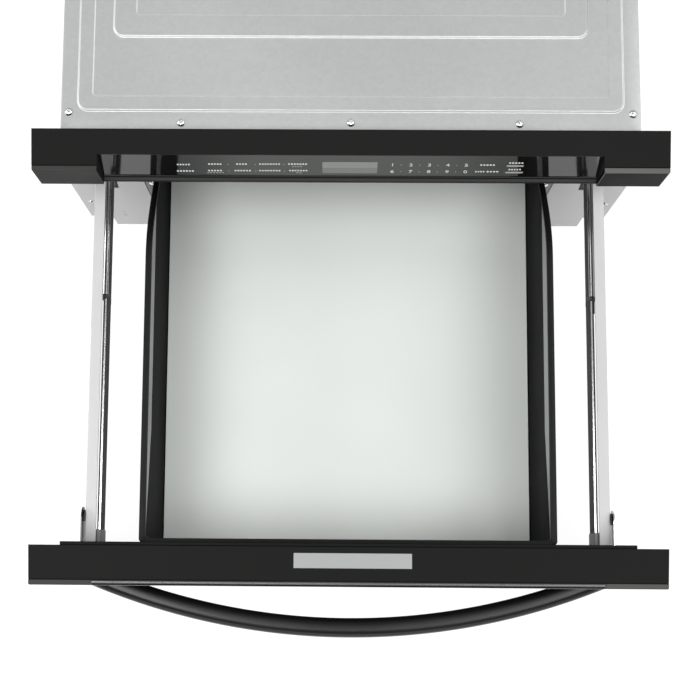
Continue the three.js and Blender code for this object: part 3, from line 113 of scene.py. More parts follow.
def skinRings(name, rings, sharpAngle=32):
    # rings is an array (rows, columns, 3). Each row runs round the piece; the first and last are closed flat.
    rows, columns, _ = rings.shape
    faces = gridFaces(rows, columns)
    faces.append(list(range(columns))[::-1])
    faces.append(list(range((rows - 1) * columns, rows * columns)))
    return meshObject(name, rings.reshape(-1, 3), faces, sharpAngle)


def ringParts(rings, closeStart=True):
    # Points and faces of rings that are closed flat at the end, and at the start unless they meet there.
    rows, columns, _ = rings.shape
    faces = gridFaces(rows, columns)
    if closeStart:
        faces.append(list(range(columns)))
    faces.append(list(range((rows - 1) * columns, rows * columns)))
    return rings.reshape(-1, 3), faces


def roundedRing(halfX, yFront, yBack, radius, cornerSteps=10, sideSteps=1):
    # One turn round a rounded rectangle, counter-clockwise from above: four quarter circles, and between them
    # the straight sides, whose points are spread evenly.
    centres = [(halfX - radius, yBack - radius), (radius - halfX, yBack - radius),
               (radius - halfX, yFront + radius), (halfX - radius, yFront + radius)]
    loops = []
    for corner, (x, y) in enumerate(centres):
        angle = (corner + np.linspace(0, 1, cornerSteps + 1)) * math.pi / 2
        arc = np.stack([x + radius * np.cos(angle), y + radius * np.sin(angle)], axis=1)
        nextX, nextY = centres[(corner + 1) % 4]
        turn = (corner + 1) * math.pi / 2
        start, end = arc[-1], np.array([nextX + radius * math.cos(turn), nextY + radius * math.sin(turn)])
        share = np.linspace(0, 1, sideSteps + 1)[1:-1, None]
        loops += [arc, start + share * (end - start)]
    return np.concatenate(loops)


def wholeTurn(steps):
    return np.linspace(0, 2 * math.pi, steps + 1)[:-1]


def rectangle(x0, x1, y0, y1, z):
    # Corners of a level rectangle, counter-clockwise from above.
    return [(x0, y0, z), (x1, y0, z), (x1, y1, z), (x0, y1, z)]


def editMesh(source, change, target=None):
    # Changes a mesh, or writes the changed copy into another one.
    bm = bmesh.new()
    bm.from_mesh(source)
    change(bm)
    bm.to_mesh(target or source)
    bm.free()


def faceOut(bm):
    bmesh.ops.recalc_face_normals(bm, faces=bm.faces)


def outwards(piece):
    # Turns the faces of a closed mesh to the outside.
    editMesh(piece.data, faceOut)
    return piece


def roundEdges(piece, width, angle):
    bevel = piece.modifiers.new("rounded edges", "BEVEL")
    bevel.width = width
    bevel.segments = 2
    bevel.limit_method = "ANGLE"
    bevel.angle_limit = math.radians(angle)
    bevel.harden_normals = True


def finishPiece(piece, body, finish, slotName, replaced=()):
    piece.data.materials.clear()
    piece.data.materials.append(finishes[finish])
    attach(piece, body)
    if replaced:
        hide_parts(*replaced)


def faceTable(piece):
    # Every face's middle and normal, as arrays.
    return readTriples(piece.data.polygons, "center"), readTriples(piece.data.polygons, "normal")


def secondFinish(piece, finish, chosen):
    # Gives the faces that are true in chosen a finish of their own.
    piece.data.materials.append(finishes[finish])
    index = np.zeros(len(piece.data.polygons), dtype=np.int32)
    piece.data.polygons.foreach_get("material_index", index)
    index[chosen] = len(piece.data.materials) - 1
    piece.data.polygons.foreach_set("material_index", index)
    piece.data.update()


def joinedMesh(name, parts, sharpAngle=32):
    # One mesh from several lists of (points, faces).
    points, faces, start = [], [], 0
    for partPoints, partFaces in parts:
        points.append(np.asarray(partPoints))
        faces += [[start + index for index in face] for face in partFaces]
        start += len(partPoints)
    return meshObject(name, np.concatenate(points), faces, sharpAngle)


def softEdges(node, finish, slotName, width, sharpAngle=32):
    # A merged copy of a CAD node whose sharp edges are rounded.
    source = nodes[node]
    mesh = bpy.data.meshes.new(node + "_soft")

    def merge(bm):
        bmesh.ops.remove_doubles(bm, verts=bm.verts, dist=0.002 * mm)
        bmesh.ops.dissolve_limit(bm, angle_limit=math.radians(0.6), verts=bm.verts, edges=bm.edges)

    editMesh(source.data, merge, mesh)
    mesh.shade_smooth()
    mesh.set_sharp_from_angle(angle=math.radians(sharpAngle))
    piece = addObject(node + "_soft", mesh)
    roundEdges(piece, width * mm, sharpAngle)
    finishPiece(piece, source["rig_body"], finish, slotName, [node])
    return piece


def addNode(tree, kind, values=None, **settings):
    # A shader node with its settings, then the values of its inputs.
    node = tree.nodes.new("ShaderNode" + kind)
    for key, value in settings.items():
        setattr(node, key, value)
    for key, value in (values or {}).items():
        node.inputs[key].default_value = value
    return node


def wire(tree, *links):
    # Links the named output of one node to the named input of another.
    for start, output, end, entry in links:
        tree.links.new(start.outputs[output], end.inputs[entry])


def nodeGroup(name, inputs, output):
    # A group of shader nodes with a vector, more inputs with their ordinary values, and one output.
    group = bpy.data.node_groups.new(name, "ShaderNodeTree")
    group.interface.new_socket("Vector", in_out="INPUT", socket_type="NodeSocketVector")
    for key, value in inputs.items():
        kind = "NodeSocketVector" if isinstance(value, tuple) else "NodeSocketFloat"
        group.interface.new_socket(key, in_out="INPUT", socket_type=kind).default_value = value
    group.interface.new_socket(output, in_out="OUTPUT", socket_type="NodeSocketFloat")
    return group, group.nodes.new("NodeGroupInput"), group.nodes.new("NodeGroupOutput")


def makeGrainGroup():
    # Fine lines drawn out along one axis: noise on coordinates squeezed along the lines' direction.
    group, given, result = nodeGroup("fine lines", {"Squeeze": (0.02, 1, 1), "Density": 1500}, "Tone")
    stretch = addNode(group, "VectorMath", operation="MULTIPLY")
    noise = addNode(group, "TexNoise", {"Detail": 3})
    wire(group, (given, "Vector", stretch, 0), (given, "Squeeze", stretch, 1), (stretch, 0, noise, "Vector"),
         (given, "Density", noise, "Scale"), (noise, "Fac", result, "Tone"))
    return group


def makeCloudGroup():
    # Soft patches: low noise stretched between two values.
    group, given, result = nodeGroup("soft patches", {"Size": 8, "Low": 0, "High": 1}, "Value")
    noise = addNode(group, "TexNoise", {"Detail": 4})
    spread = addNode(group, "MapRange", {"From Min": 0.3, "From Max": 0.7})
    wire(group, (given, "Vector", noise, "Vector"), (given, "Size", noise, "Scale"),
         (noise, "Fac", spread, "Value"), (given, "Low", spread, "To Min"), (given, "High", spread, "To Max"),
         (spread, "Result", result, "Value"))
    return group


def makeSpangleGroup():
    # Zinc crystals: each cell of a pattern of points has a tone of its own, blurred by finer noise.
    group, given, result = nodeGroup("zinc crystals", {"Size": 260}, "Tone")
    cells = addNode(group, "TexVoronoi", {"Randomness": 1})
    noise = addNode(group, "TexNoise", {"Scale": 900, "Detail": 2})
    blend = addNode(group, "Mix", {"Factor": 0.45}, data_type="FLOAT")
    split = addNode(group, "SeparateColor")
    wire(group, (given, "Vector", cells, "Vector"), (given, "Vector", noise, "Vector"),
         (given, "Size", cells, "Scale"), (cells, "Color", split, "Color"), (split, "Red", blend, "A"),
         (noise, "Fac", blend, "B"), (blend, "Result", result, "Tone"))
    return group


grainGroup = makeGrainGroup()
cloudGroup = makeCloudGroup()
spangleGroup = makeSpangleGroup()
print("shader groups made")


def startMaterial(name, colour, roughness, metallic=0.0, ior=1.5):
    material = bpy.data.materials.new(name)
    material.use_nodes = True
    tree = material.node_tree
    shader = tree.nodes["Principled BSDF"]
    values = {"Base Color": (*colour, 1), "Roughness": roughness, "Metallic": metallic, "IOR": ior}
    for socket, value in values.items():
        shader.inputs[socket].default_value = value
    return material, tree, shader, addNode(tree, "TexCoord")


def placeGroup(tree, group, place, **values):
    node = addNode(tree, "Group", values, node_tree=group)
    wire(tree, (place, "Object", node, "Vector"))
    return node


def varyColour(tree, shader, source, output, colour, contrast):
    # The colour runs from a little darker to a little lighter with an output of the source.
    darker, lighter = ((*(min(1, channel * factor) for channel in colour), 1)
                       for factor in (1 - contrast, 1 + contrast))
    mix = addNode(tree, "Mix", {"A": darker, "B": lighter}, data_type="RGBA")
    wire(tree, (source, output, mix, "Factor"), (mix, "Result", shader, "Base Color"))


def addBump(tree, shader, source, strength, distance):
    bump = addNode(tree, "Bump", {"Strength": strength, "Distance": distance})
    wire(tree, (source, "Tone", bump, "Height"), (bump, "Normal", shader, "Normal"))


def brushed(name, colour, roughness, squeeze=(1, 0.02, 1), density=1400, contrast=0.1):
    # Metal with fine lines along one axis, which change its tone, its gloss and a shallow relief.
    material, tree, shader, place = startMaterial(name, colour, roughness, 1)
    lines = placeGroup(tree, grainGroup, place, Squeeze=squeeze, Density=density)
    patches = placeGroup(tree, cloudGroup, place, Size=6, Low=roughness - 0.05, High=roughness + 0.05)
    varyColour(tree, shader, lines, "Tone", colour, contrast)
    wire(tree, (patches, "Value", shader, "Roughness"))
    addBump(tree, shader, lines, 0.12, 0.04 * mm)
    return material


def zinc(name, colour, roughness, size=260, contrast=0.05, metallic=0.35):
    # Galvanised sheet: small crystals in two tones, with patches of gloss over them.
    material, tree, shader, place = startMaterial(name, colour, roughness, metallic)
    crystals = placeGroup(tree, spangleGroup, place, Size=size)
    patches = placeGroup(tree, cloudGroup, place, Size=5, Low=roughness - 0.06, High=roughness + 0.06)
    varyColour(tree, shader, crystals, "Tone", colour, contrast)
    wire(tree, (patches, "Value", shader, "Roughness"))
    addBump(tree, shader, crystals, 0.05, 0.05 * mm)
    return material


def coated(name, colour, roughness, grain=900, bump=0.05, contrast=0.04, ior=1.5, specular=0.5):
    # Paint, enamel or moulded plastic: an even colour with faint patches and a fine orange peel.
    material, tree, shader, place = startMaterial(name, colour, roughness, ior=ior)
    shader.inputs["Specular IOR Level"].default_value = specular
    patches = placeGroup(tree, cloudGroup, place, Size=9, Low=0, High=1)
    peel = placeGroup(tree, grainGroup, place, Squeeze=(1, 1, 1), Density=grain)
    varyColour(tree, shader, patches, "Value", colour, contrast)
    spread = addNode(tree, "MapRange", {"To Min": roughness - 0.04, "To Max": roughness + 0.04})
    wire(tree, (patches, "Value", spread, "Value"), (spread, "Result", shader, "Roughness"))
    addBump(tree, shader, peel, bump, 0.05 * mm)
    return material


# Each finish: its material's name, its colour and roughness, and what differs from an ordinary one.
finishes = {
    "blackSteel": coated("black coated steel", (0.0105, 0.0105, 0.0103), 0.42, specular=0.04),
    "blackSteelUpright": coated("black steel fronts", (0.0095, 0.0095, 0.0092), 0.5, specular=0.08),
    "drawerTop": coated("black drawer shell", (0.009, 0.009, 0.0088), 0.42, specular=0.03),
    # A darker copy of the black steel for the right plate's face: painted shade.
    "blackSteelShade": coated("black steel, right ear", (0.0025, 0.0025, 0.0024), 0.5, specular=0.03),
    "handleBlack": coated("black handle", (0.0045, 0.0045, 0.0045), 0.3, bump=0.06, specular=0.25),
    # Lighter copies of the black steel for the plates' top and rounded edges: painted highlight, dimmer on
    # the left and brighter on the right.
    "plateEdge": coated("plate edges", (0.05, 0.05, 0.048), 0.45, specular=0.15),
    "plateEdgeDim": coated("plate edges, left", (0.032, 0.032, 0.031), 0.45, specular=0.1),
    "plateEdgeBright": coated("plate edges, right", (0.085, 0.084, 0.08), 0.45, specular=0.15),
    "galvanised": zinc("galvanised sheet", (0.39, 0.4, 0.395), 0.36),
    # A lighter copy of the galvanised finish: painted highlight on the cover's pressed ramps.
    "pressedEdge": zinc("galvanised sheet, pressed edges", (0.61, 0.62, 0.615), 0.36),
    "palePaint": coated("pale coated sheet", (0.63, 0.63, 0.635), 0.42, bump=0.1),
    "armPaint": coated("pale slide arm", (0.475, 0.475, 0.475), 0.36, bump=0.1),
    "cavityEnamel": coated("dark enamel", (0.075, 0.075, 0.078), 0.35, grain=500, bump=0.2, contrast=0.15),
    "blackPlastic": coated("black plastic", (0.006, 0.006, 0.006), 0.38, bump=0.25, contrast=0.1),
    "binShell": coated("bin wall", (0.002, 0.002, 0.002), 0.65, bump=0.1, contrast=0.1, specular=0.03),
    "binGloss": coated("bin upper wall", (0.006, 0.006, 0.006), 0.06, bump=0.01, contrast=0.1),
    "binRim": coated("bin rim", (0.0045, 0.0045, 0.0047), 0.45, grain=700, bump=0.6, contrast=0.25,
                     specular=0.12),
    "greyPlastic": coated("grey plastic", (0.17, 0.17, 0.175), 0.45, bump=0.25),
    "whitePlastic": coated("white plastic", (0.78, 0.78, 0.73), 0.45, bump=0.2),
    "blackGlass": coated("black glass", (0.004, 0.004, 0.004), 0.05, grain=300, bump=0.004, ior=1.7),
    # A lighter grey for the upward faces of the glass's foot: painted highlight.
    "glassFoot": coated("foot of the glass", (0.03, 0.031, 0.03), 0.4, bump=0.02, specular=0.1),
    # A near black finish for strips and faces that stand in for the shade in joints and grooves: painted
    # shade.
    "glassSeam": coated("seam", (0.002, 0.002, 0.002), 0.7, bump=0.02, specular=0.1),
    "displayGlass": coated("display glass", (0.195, 0.202, 0.192), 0.12, grain=300, bump=0.004),
    "displayDim": coated("display glass, lower", (0.14, 0.146, 0.138), 0.12, grain=300, bump=0.004),
    "floorGlass": coated("pale floor glass", (0.705, 0.738, 0.71), 0.12, grain=300, bump=0.004,
                         contrast=0.012),
    "brightSteel": brushed("bright steel", (0.72, 0.73, 0.74), 0.18, contrast=0.08),
    "screwSteel": brushed("screw steel", (0.78, 0.78, 0.78), 0.22, squeeze=(1, 1, 1), density=900,
                          contrast=0.05),
    "trimSteel": brushed("satin trim", (0.085, 0.085, 0.085), 0.36, squeeze=(0.02, 1, 1), contrast=0.12),
    "zincSteel": zinc("zinc plated steel", (0.52, 0.53, 0.54), 0.3, size=420, contrast=0.04, metallic=1.0),
    # A dark copy for the inner faces of the drawer rails' webs: painted shade.
    "slideWeb": coated("slide web", (0.085, 0.085, 0.085), 0.55, specular=0.06),
    # A dark copy of the bright steel for the left front bracket: painted shade.
    "darkSteel": brushed("dark steel", (0.05, 0.048, 0.045), 0.25),
    "panelBlack": coated("inner panel", (0.003, 0.003, 0.003), 0.5, bump=0.2, specular=0.08),
    "ballCage": coated("ball cage", (0.05, 0.05, 0.05), 0.4, specular=0.3, bump=0.15),
    "slideSteel": brushed("slide steel", (0.66, 0.67, 0.68), 0.2, contrast=0.06),
    "copper": brushed("enamelled copper", (0.45, 0.13, 0.05), 0.35, squeeze=(1, 1, 0.05), density=700,
                      contrast=0.25),
    "boardGreen": coated("circuit board", (0.03, 0.14, 0.06), 0.4, grain=200, bump=0.2, contrast=0.2),
    "mica": coated("pressed mica", (0.58, 0.52, 0.4), 0.4, grain=250, bump=0.3, contrast=0.12),
    "legend": coated("printed legend", (0.62, 0.63, 0.62), 0.5, bump=0.01),
    "legendDim": coated("faint legend", (0.32, 0.33, 0.32), 0.5, bump=0.01),
    "labelPlate": coated("blank label plate", (0.262, 0.267, 0.267), 0.4, bump=0.03, specular=0.25),
}
print("materials made:", len(finishes))


def low(node):
    return np.array(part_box(node)[0])


def high(node):
    return np.array(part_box(node)[1])


def inMm(**sizes):
    # A dictionary of sizes that are given in mm.
    return {name: size * mm for name, size in sizes.items()}


handleSizes = {"squareness": 2.9, **inMm(outerRadius=660, thickness=18.6, height=23)}


def makeBowHandle():
    # The section is a superellipse. Each of its points runs along its own arc about the bow's centre, and
    # stops where that arc meets the front of the fascia.
    s = handleSizes
    lowest, highest = low("bow_handle"), high("bow_handle")
    centreY = lowest[1] + s["outerRadius"]
    centreZ = (lowest[2] + highest[2]) / 2
    frontY = highest[1]
    turn = wholeTurn(48)
    power = 2 / s["squareness"]
    across = np.sign(np.cos(turn)) * np.abs(np.cos(turn)) ** power * s["thickness"] / 2
    up = np.sign(np.sin(turn)) * np.abs(np.sin(turn)) ** power * s["height"] / 2
    radius = s["outerRadius"] - s["thickness"] / 2 + across
    reach = np.arccos((centreY - frontY) / radius)
    share = np.linspace(-1, 1, 161)[:, None]
    angle = share * reach[None, :]
    x = radius * np.sin(angle)
    y = centreY - radius * np.cos(angle)
    rings = np.stack([x, y, np.broadcast_to(centreZ + up, x.shape)], axis=-1)
    piece = outwards(skinRings("bow_handle_bar", rings))
    finishPiece(piece, "drawer", "handleBlack", "black_steel", ["bow_handle"])


binSizes = {
    "bandFrontShare": 0.35,
    **inMm(
        rimDrop=90, rimDropLength=161, rimDropReach=148, rimDepth=6, rimWidth=4.3, rimBulge=1.9, wall=3,
        frontWall=4.3, floor=4, corner=3, outerCorner=3.5, footRound=1.5, floorRound=4, rimRound=1.2,
        rimFacet=0.35, innerRimDepth=4.4, bandDepth=45, bandFrontLength=110),
}


def makeBin():
    # Rounded rectangles set one inside the other, from the foot of the outer wall up over the rim and down
    # the inner wall. The rim falls towards the rear by half a cosine wave, which nearby rings follow.
    s = binSizes
    lowest, highest = low("bin"), high("bin")
    half = highest[0]
    yFront, yBack = lowest[1], highest[1]
    rimZ, foot = highest[2], lowest[2]
    wallHalf = half - s["rimWidth"] + s["wall"]
    innerHalf = half - s["rimWidth"]
    binBack = yBack - (half - wallHalf)
    outer, inner = s["outerCorner"], s["corner"]
    innerFront = yFront + s["frontWall"]
    innerBack = binBack - s["wall"]
    floorTop = foot + s["floor"]
    rimInner = innerHalf - s["rimBulge"]
    rounding, facet = s["rimRound"], s["rimFacet"]

    def loop(halfX, front, back, radius, height, inset=0):
        flat = roundedRing(halfX - inset, front + inset, back - inset, radius, cornerSteps=6, sideSteps=70)
        return np.column_stack([flat, height(flat[:, 1])])

    def level(z):
        return lambda y: np.full_like(y, z)

    def under(drop):
        # A height that stays the given drop below the rim's top.
        def height(y):
            share = np.clip((y - (binBack - s["rimDropReach"])) / s["rimDropLength"], 0, 1)
            return rimZ - s["rimDrop"] * (1 - np.cos(np.pi * share)) / 2 - drop
        return height

    def bandFoot(y):
        # The glossy upper part of the wall is shallow at the front and runs out where the rim falls.
        ease = np.clip((y - innerFront) / s["bandFrontLength"], 0, 1)
        depth = s["bandDepth"] * (s["bandFrontShare"] + (1 - s["bandFrontShare"]) * ease)
        return np.minimum(rimZ - depth, under(s["rimDepth"] + rounding)(y))

    wall, rim = (wallHalf, yFront, binBack, outer), (half, yFront, yBack, outer)
    rimInside = (rimInner, innerFront, innerBack, inner)
    inside = (innerHalf, innerFront, innerBack, inner)
    rings = [
        loop(*wall, level(foot), inset=s["footRound"]),
        loop(*wall, level(foot + 0.5 * mm), inset=0.5 * mm),
        loop(*wall, level(foot + s["footRound"])),
        loop(*wall, under(s["rimDepth"])),
        loop(half - 0.4 * mm, yFront, yBack - 0.4 * mm, outer, under(s["rimDepth"])),
        loop(*rim, under(s["rimDepth"] - 0.6 * mm)),
        loop(*rim, under(rounding)),
        loop(half - facet, yFront + 0.2 * mm, yBack - facet, outer, under(facet)),
        loop(half - rounding, yFront + 0.5 * mm, yBack - rounding, outer, under(0)),
        loop(rimInner + rounding, innerFront - 0.5 * mm, innerBack + rounding, inner, under(0)),
        loop(rimInner + facet, innerFront - 0.2 * mm, innerBack + facet, inner, under(facet)),
        loop(*rimInside, under(rounding)),
        loop(*rimInside, under(s["innerRimDepth"])),
        loop(rimInner + 0.5 * mm, innerFront, innerBack, inner, under(s["innerRimDepth"] + 1 * mm)),
        loop(*inside, under(s["rimDepth"])),
        loop(innerHalf - 0.3 * mm, innerFront, innerBack, inner, bandFoot),
        loop(*inside, lambda y: bandFoot(y) - 1 * mm),
        loop(innerHalf - 0.2 * mm, innerFront, innerBack, inner, level(floorTop + s["floorRound"])),
        loop(*inside, level(floorTop + 1 * mm), inset=0.8 * mm),
        loop(*inside, level(floorTop), inset=s["floorRound"]),
    ]
    rimRows, bandRows = range(3, 14), range(14, 15)
    piece = outwards(skinRings("bin_tub", np.array(rings), sharpAngle=40))
    finishPiece(piece, "drawer", "binShell", "black_plastic", ["bin"])
    row = np.arange(len(piece.data.polygons)) // len(rings[0])
    secondFinish(piece, "binRim", np.isin(row, rimRows))
    secondFinish(piece, "binGloss", np.isin(row, bandRows))


trimSizes = inMm(width=3.3, crown=0.35, groove=0.5, endGap=1)


def makeTrim():
    # The section, from the rear: a low arc for the bright strip, then a step down to the groove before it.
    s = trimSizes
    lowest, highest = low("front_trim_strip"), high("front_trim_strip")
    front, back, top, foot = lowest[1], highest[1], highest[2], lowest[2]
    across = np.linspace(0, 1, 7)
    arcY = back - s["width"] * across
    arcZ = top - s["crown"] * (2 * across - 1) ** 2
    sectionY = np.concatenate([[back], arcY, [back - s["width"], front, front]])
    sectionZ = np.concatenate([[foot], arcZ, [top - s["groove"], top - s["groove"], foot]])
    half = highest[0] - s["endGap"]
    x = np.linspace(-half, half, 5)
    rings = np.stack(np.broadcast_arrays(x[:, None], sectionY[None, :], sectionZ[None, :]), axis=-1)
    piece = outwards(skinRings("front_trim_strip_crowned", rings, sharpAngle=40))
    finishPiece(piece, "drawer", "trimSteel", "bright_steel", ["front_trim_strip"])
    # The faces in front of the strip, down into the groove, get the near black seam finish: painted shade.
    secondFinish(piece, "glassSeam", faceTable(piece)[0][:, 1] < back - s["width"] * 1.01)


slideSizes = inMm(
    hookDepth=0.6, hookGap=0.1, railHook=5.6, stopHook=4, bead=1.2, groove=0.5, grooveReach=3, sheet=1.2,
    shoulder=0.7, barReach=3.6, barLength=3.6, barSetback=0.7, lift=0.3, tongueLength=14, tongueStart=1.8,
    tongueWidth=2.2, tongueHeight=0.9, tongueLap=1)


def sideOf(node):
    # Which side of the middle a rail is on, and how far out its inner face is.
    ends = (low(node)[0], high(node)[0])
    return (-1 if ends[1] < 0 else 1), min(abs(ends[0]), abs(ends[1]))


def rolledRail(name, node, hook):
    # Section of the middle rail, from the foot of the hook inside the drawer rail: up, over two beads with
    # the ball groove between them, down the back and round the lower lip, and back along the inside.
    s = slideSizes
    side, web = sideOf(node)
    lowest, highest = low(node), high(node)
    outer = max(abs(lowest[0]), abs(highest[0])) - web
    top, foot = highest[2], lowest[2]
    sheet, bead, groove, shoulder = s["sheet"], s["bead"], s["groove"], s["shoulder"]
    section = np.array([
        (-s["hookDepth"], top - hook), (-s["hookDepth"], top - groove),
        (-s["hookDepth"] / 2, top - groove / 4), (bead * 0.2, top), (bead, top),
        (bead + groove, top - groove), (outer - bead - 2 * groove, top - groove),
        (outer - bead - groove, top), (outer - shoulder, top), (outer - shoulder / 4, top - shoulder / 4),
        (outer, top - shoulder), (outer, foot + shoulder), (outer - shoulder, foot), (0, foot),
        (0, foot + sheet), (outer - sheet, foot + sheet), (outer - sheet, top - sheet),
        (-s["hookGap"], top - sheet), (-s["hookGap"], top - hook),
    ])
    x, z = side * (web + section[:, 0]), section[:, 1]
    rings = np.array([np.column_stack([x, np.full(len(x), y), z]) for y in (lowest[1], highest[1])])
    return outwards(skinRings(name, rings, sharpAngle=50))


def makeMiddleRails():
    s = slideSizes
    for hand in ("left", "right"):
        body, rail, stop = hand + "_middle", hand + "_middle_rail", hand + "_rail_stop"
        channel = rolledRail(hand + "_middle_channel", rail, s["railHook"])
        finishPiece(channel, body, "brightSteel", "bright_steel", [rail])
        middles, normals = faceTable(channel)
        fromWeb = np.abs(middles[:, 0]) - sideOf(rail)[1]
        inGroove = (fromWeb > s["bead"] + s["groove"] / 2) & (fromWeb < s["grooveReach"])
        secondFinish(channel, "ballCage", inGroove & (normals[:, 2] > 0.9))
        clip = rolledRail(hand + "_stop_clip", stop, s["stopHook"])
        finishPiece(clip, body, "blackPlastic", "black_plastic", [stop])
        side, web = sideOf(stop)
        x0, x1 = sorted((side * (web - s["barReach"]), side * (web + s["bead"])))
        y1, z0 = high(stop)[1] - s["barSetback"], high(stop)[2] - s["sheet"]
        corners = rectangle(x0, x1, y1 - s["barLength"], y1, z0)
        bar = slabMesh(hand + "_stop_bar", corners, s["sheet"] + s["lift"])
        finishPiece(bar, body, "blackPlastic", "black_plastic")
    rail = high("right_drawer_rail")
    x0, y1 = rail[0] - s["tongueStart"], low("right_rail_stop")[1] + s["tongueLap"]
    corners = rectangle(x0, x0 + s["tongueWidth"], y1 - s["tongueLength"], y1, rail[2] + s["lift"])
    tongue = slabMesh("right_stop_tongue", corners, s["tongueHeight"])
    finishPiece(tongue, "right_middle", "blackPlastic", "black_plastic")


coverSizes = {
    "level": 0.985,  # height of a normal, from which on a face counts as flat
    **inMm(
        sheet=1.2, lip=24, lipGap=0.4, corner=3, leastCorner=0.3, edgeRound=1.2, edgeReach=5, rise=1.6,
        ramp=2, hold=0.25, drop=0.8, dropRamp=1.1, radius=11, stepRadius=4, stepReach=1, rampReach=1.5),
    "frames": [(15.4 * mm, 22.8 * mm, 14.8 * mm), (48.6 * mm, 97.2 * mm, 22.4 * mm)],  # sides, ends, band
}


def makeCover():
    # Rings from the lip's foot up over the rolled edge and inwards over two pressed frames. Their ramps
    # follow half a cosine wave, between narrow flat rings that keep the shading of the flat parts even. The
    # same rings lowered by the sheet's thickness make the underside.
    s = coverSizes
    lowest, highest = low("top_cover"), high("top_cover")
    half, yFront, yBack = highest[0], lowest[1], highest[1]
    top = lowest[2] + s["lip"]
    sheet, corner, edge = s["sheet"], s["corner"], s["edgeRound"]

    def ring(insetX, insetY, radius, z):
        radius = max(radius, s["leastCorner"])
        flat = roundedRing(half - insetX, yFront + insetY, yBack - insetY, radius, 8, 12)
        return np.column_stack([flat, np.full(len(flat), z)])

    outside = [ring(0, 0, corner, lowest[2]), ring(0, 0, corner, top - edge)]
    for turn in np.linspace(0.25, 1, 4) * math.pi / 2:
        inset = edge * (1 - math.cos(turn))
        outside.append(ring(inset, inset, corner, top - edge * (1 - math.sin(turn))))
    z = top
    for insetX, insetY, band in s["frames"]:
        for start, run, height, radius, steps in ((0, s["ramp"], s["rise"], s["radius"], 7),
                                                  (band, s["dropRamp"], -s["drop"], s["stepRadius"], 5)):
            hold = s["hold"] / run
            for share in np.concatenate([[-hold], np.linspace(0, 1, steps), [1 + hold]]):
                wave = (1 - math.cos(math.pi * min(1, max(0, share)))) / 2
                reach = start + share * run
                outside.append(ring(insetX + reach, insetY + reach, radius - share * run, z + wave * height))
            z += height
    inside = [r - np.array([0, 0, sheet]) for r in outside[6:]][::-1]
    inside += [ring(sheet, sheet, corner - sheet, top - sheet - s["lipGap"]),
               ring(sheet, sheet, corner - sheet, lowest[2])]
    piece = outwards(skinRings("top_cover_sheet", np.array(inside + outside), sharpAngle=50))
    finishPiece(piece, "cabinet", "galvanised", "galvanised", ["top_cover"])

    # The ramps get a lighter copy of the zinc finish, a painted highlight, apart from two along the right
    # side that lie in shade and keep the plain finish.
    middles, normals = faceTable(piece)
    inset = half - middles[:, 0]
    ramps = (normals[:, 2] < s["level"]) & (normals[:, 2] > 0) & (middles[:, 2] > top)
    ramps &= np.abs(middles[:, 0]) < half - s["edgeReach"]
    (firstInset, _, band), (secondInset, _, _) = s["frames"]
    shaded = np.abs(inset - firstInset - band - s["dropRamp"] / 2) < s["stepReach"]
    shaded |= np.abs(inset - secondInset - s["ramp"] / 2) < s["rampReach"]
    shaded &= np.abs(normals[:, 0]) > np.abs(normals[:, 1])
    secondFinish(piece, "pressedEdge", ramps & ~shaded)


screwSizes = {
    "crown": 2.6, "slotSpread": 1.6,
    **inMm(head=3.4, rise=1.9, skirt=0.35, recess=2.0, recessEdge=0.3, slot=0.55, depth=1.1),
}


def facing(rings, seat, outward):
    # Rings made about the upright axis, turned to face outwards and set on their seat.
    turn = np.array(Vector(outward).to_track_quat("Z", "Y").to_matrix())
    return rings @ turn.T + np.array(seat)


def screwRings(size):
    # A domed head turned about its axis, with a cross recess: the depth under the dome grows to the middle of
    # four arms, which follow the angle round the axis.
    s = screwSizes
    around = wholeTurn(48)
    share = np.array([0, 0.12, 0.24, 0.34, 0.46, 0.58, 0.7, 0.82, 0.92, 1.0])
    radius = share[:, None] * s["head"] * size
    dome = s["rise"] * size * (1 - share[:, None] ** s["crown"]) + s["skirt"]
    x = radius * np.cos(around)[None, :]
    y = radius * np.sin(around)[None, :]
    arm = np.minimum(np.abs(x), np.abs(y))
    inArm = np.clip((s["slot"] * size * s["slotSpread"] - arm) / (s["slot"] * size), 0, 1)
    inArm = inArm * np.clip((s["recess"] * size - radius) / s["recessEdge"], 0, 1)
    z = dome - s["depth"] * size * inArm
    skirt = np.stack([x[-1], y[-1], np.zeros_like(x[-1])], axis=-1)
    return np.concatenate([np.stack([x, y, z], axis=-1), skirt[None]])


def makeScrews(name, places, outward, size=1.0, finish="brightSteel"):
    rings = screwRings(size)
    parts = [ringParts(facing(rings, seat, outward), closeStart=False) for seat in places]
    piece = joinedMesh(name, parts, 45)

    def merge(bm):
        bmesh.ops.remove_doubles(bm, verts=bm.verts, dist=0.001 * mm)
        faceOut(bm)

    editMesh(piece.data, merge)
    finishPiece(piece, "cabinet", finish, "bright_steel")


def domeRings(radius, rise):
    # A smooth round head: rings whose height follows an ellipse over their radius, above a short skirt.
    turn = np.linspace(0, math.pi / 2, 9)
    around = wholeTurn(32)
    ring = np.concatenate([radius * np.sin(turn[1:]), [radius]])
    height = np.concatenate([rise * (0.3 + 0.7 * np.cos(turn[1:])), [0]])
    x = ring[:, None] * np.cos(around)
    y = ring[:, None] * np.sin(around)
    return np.stack([x, y, np.broadcast_to(height[:, None], x.shape)], axis=-1)


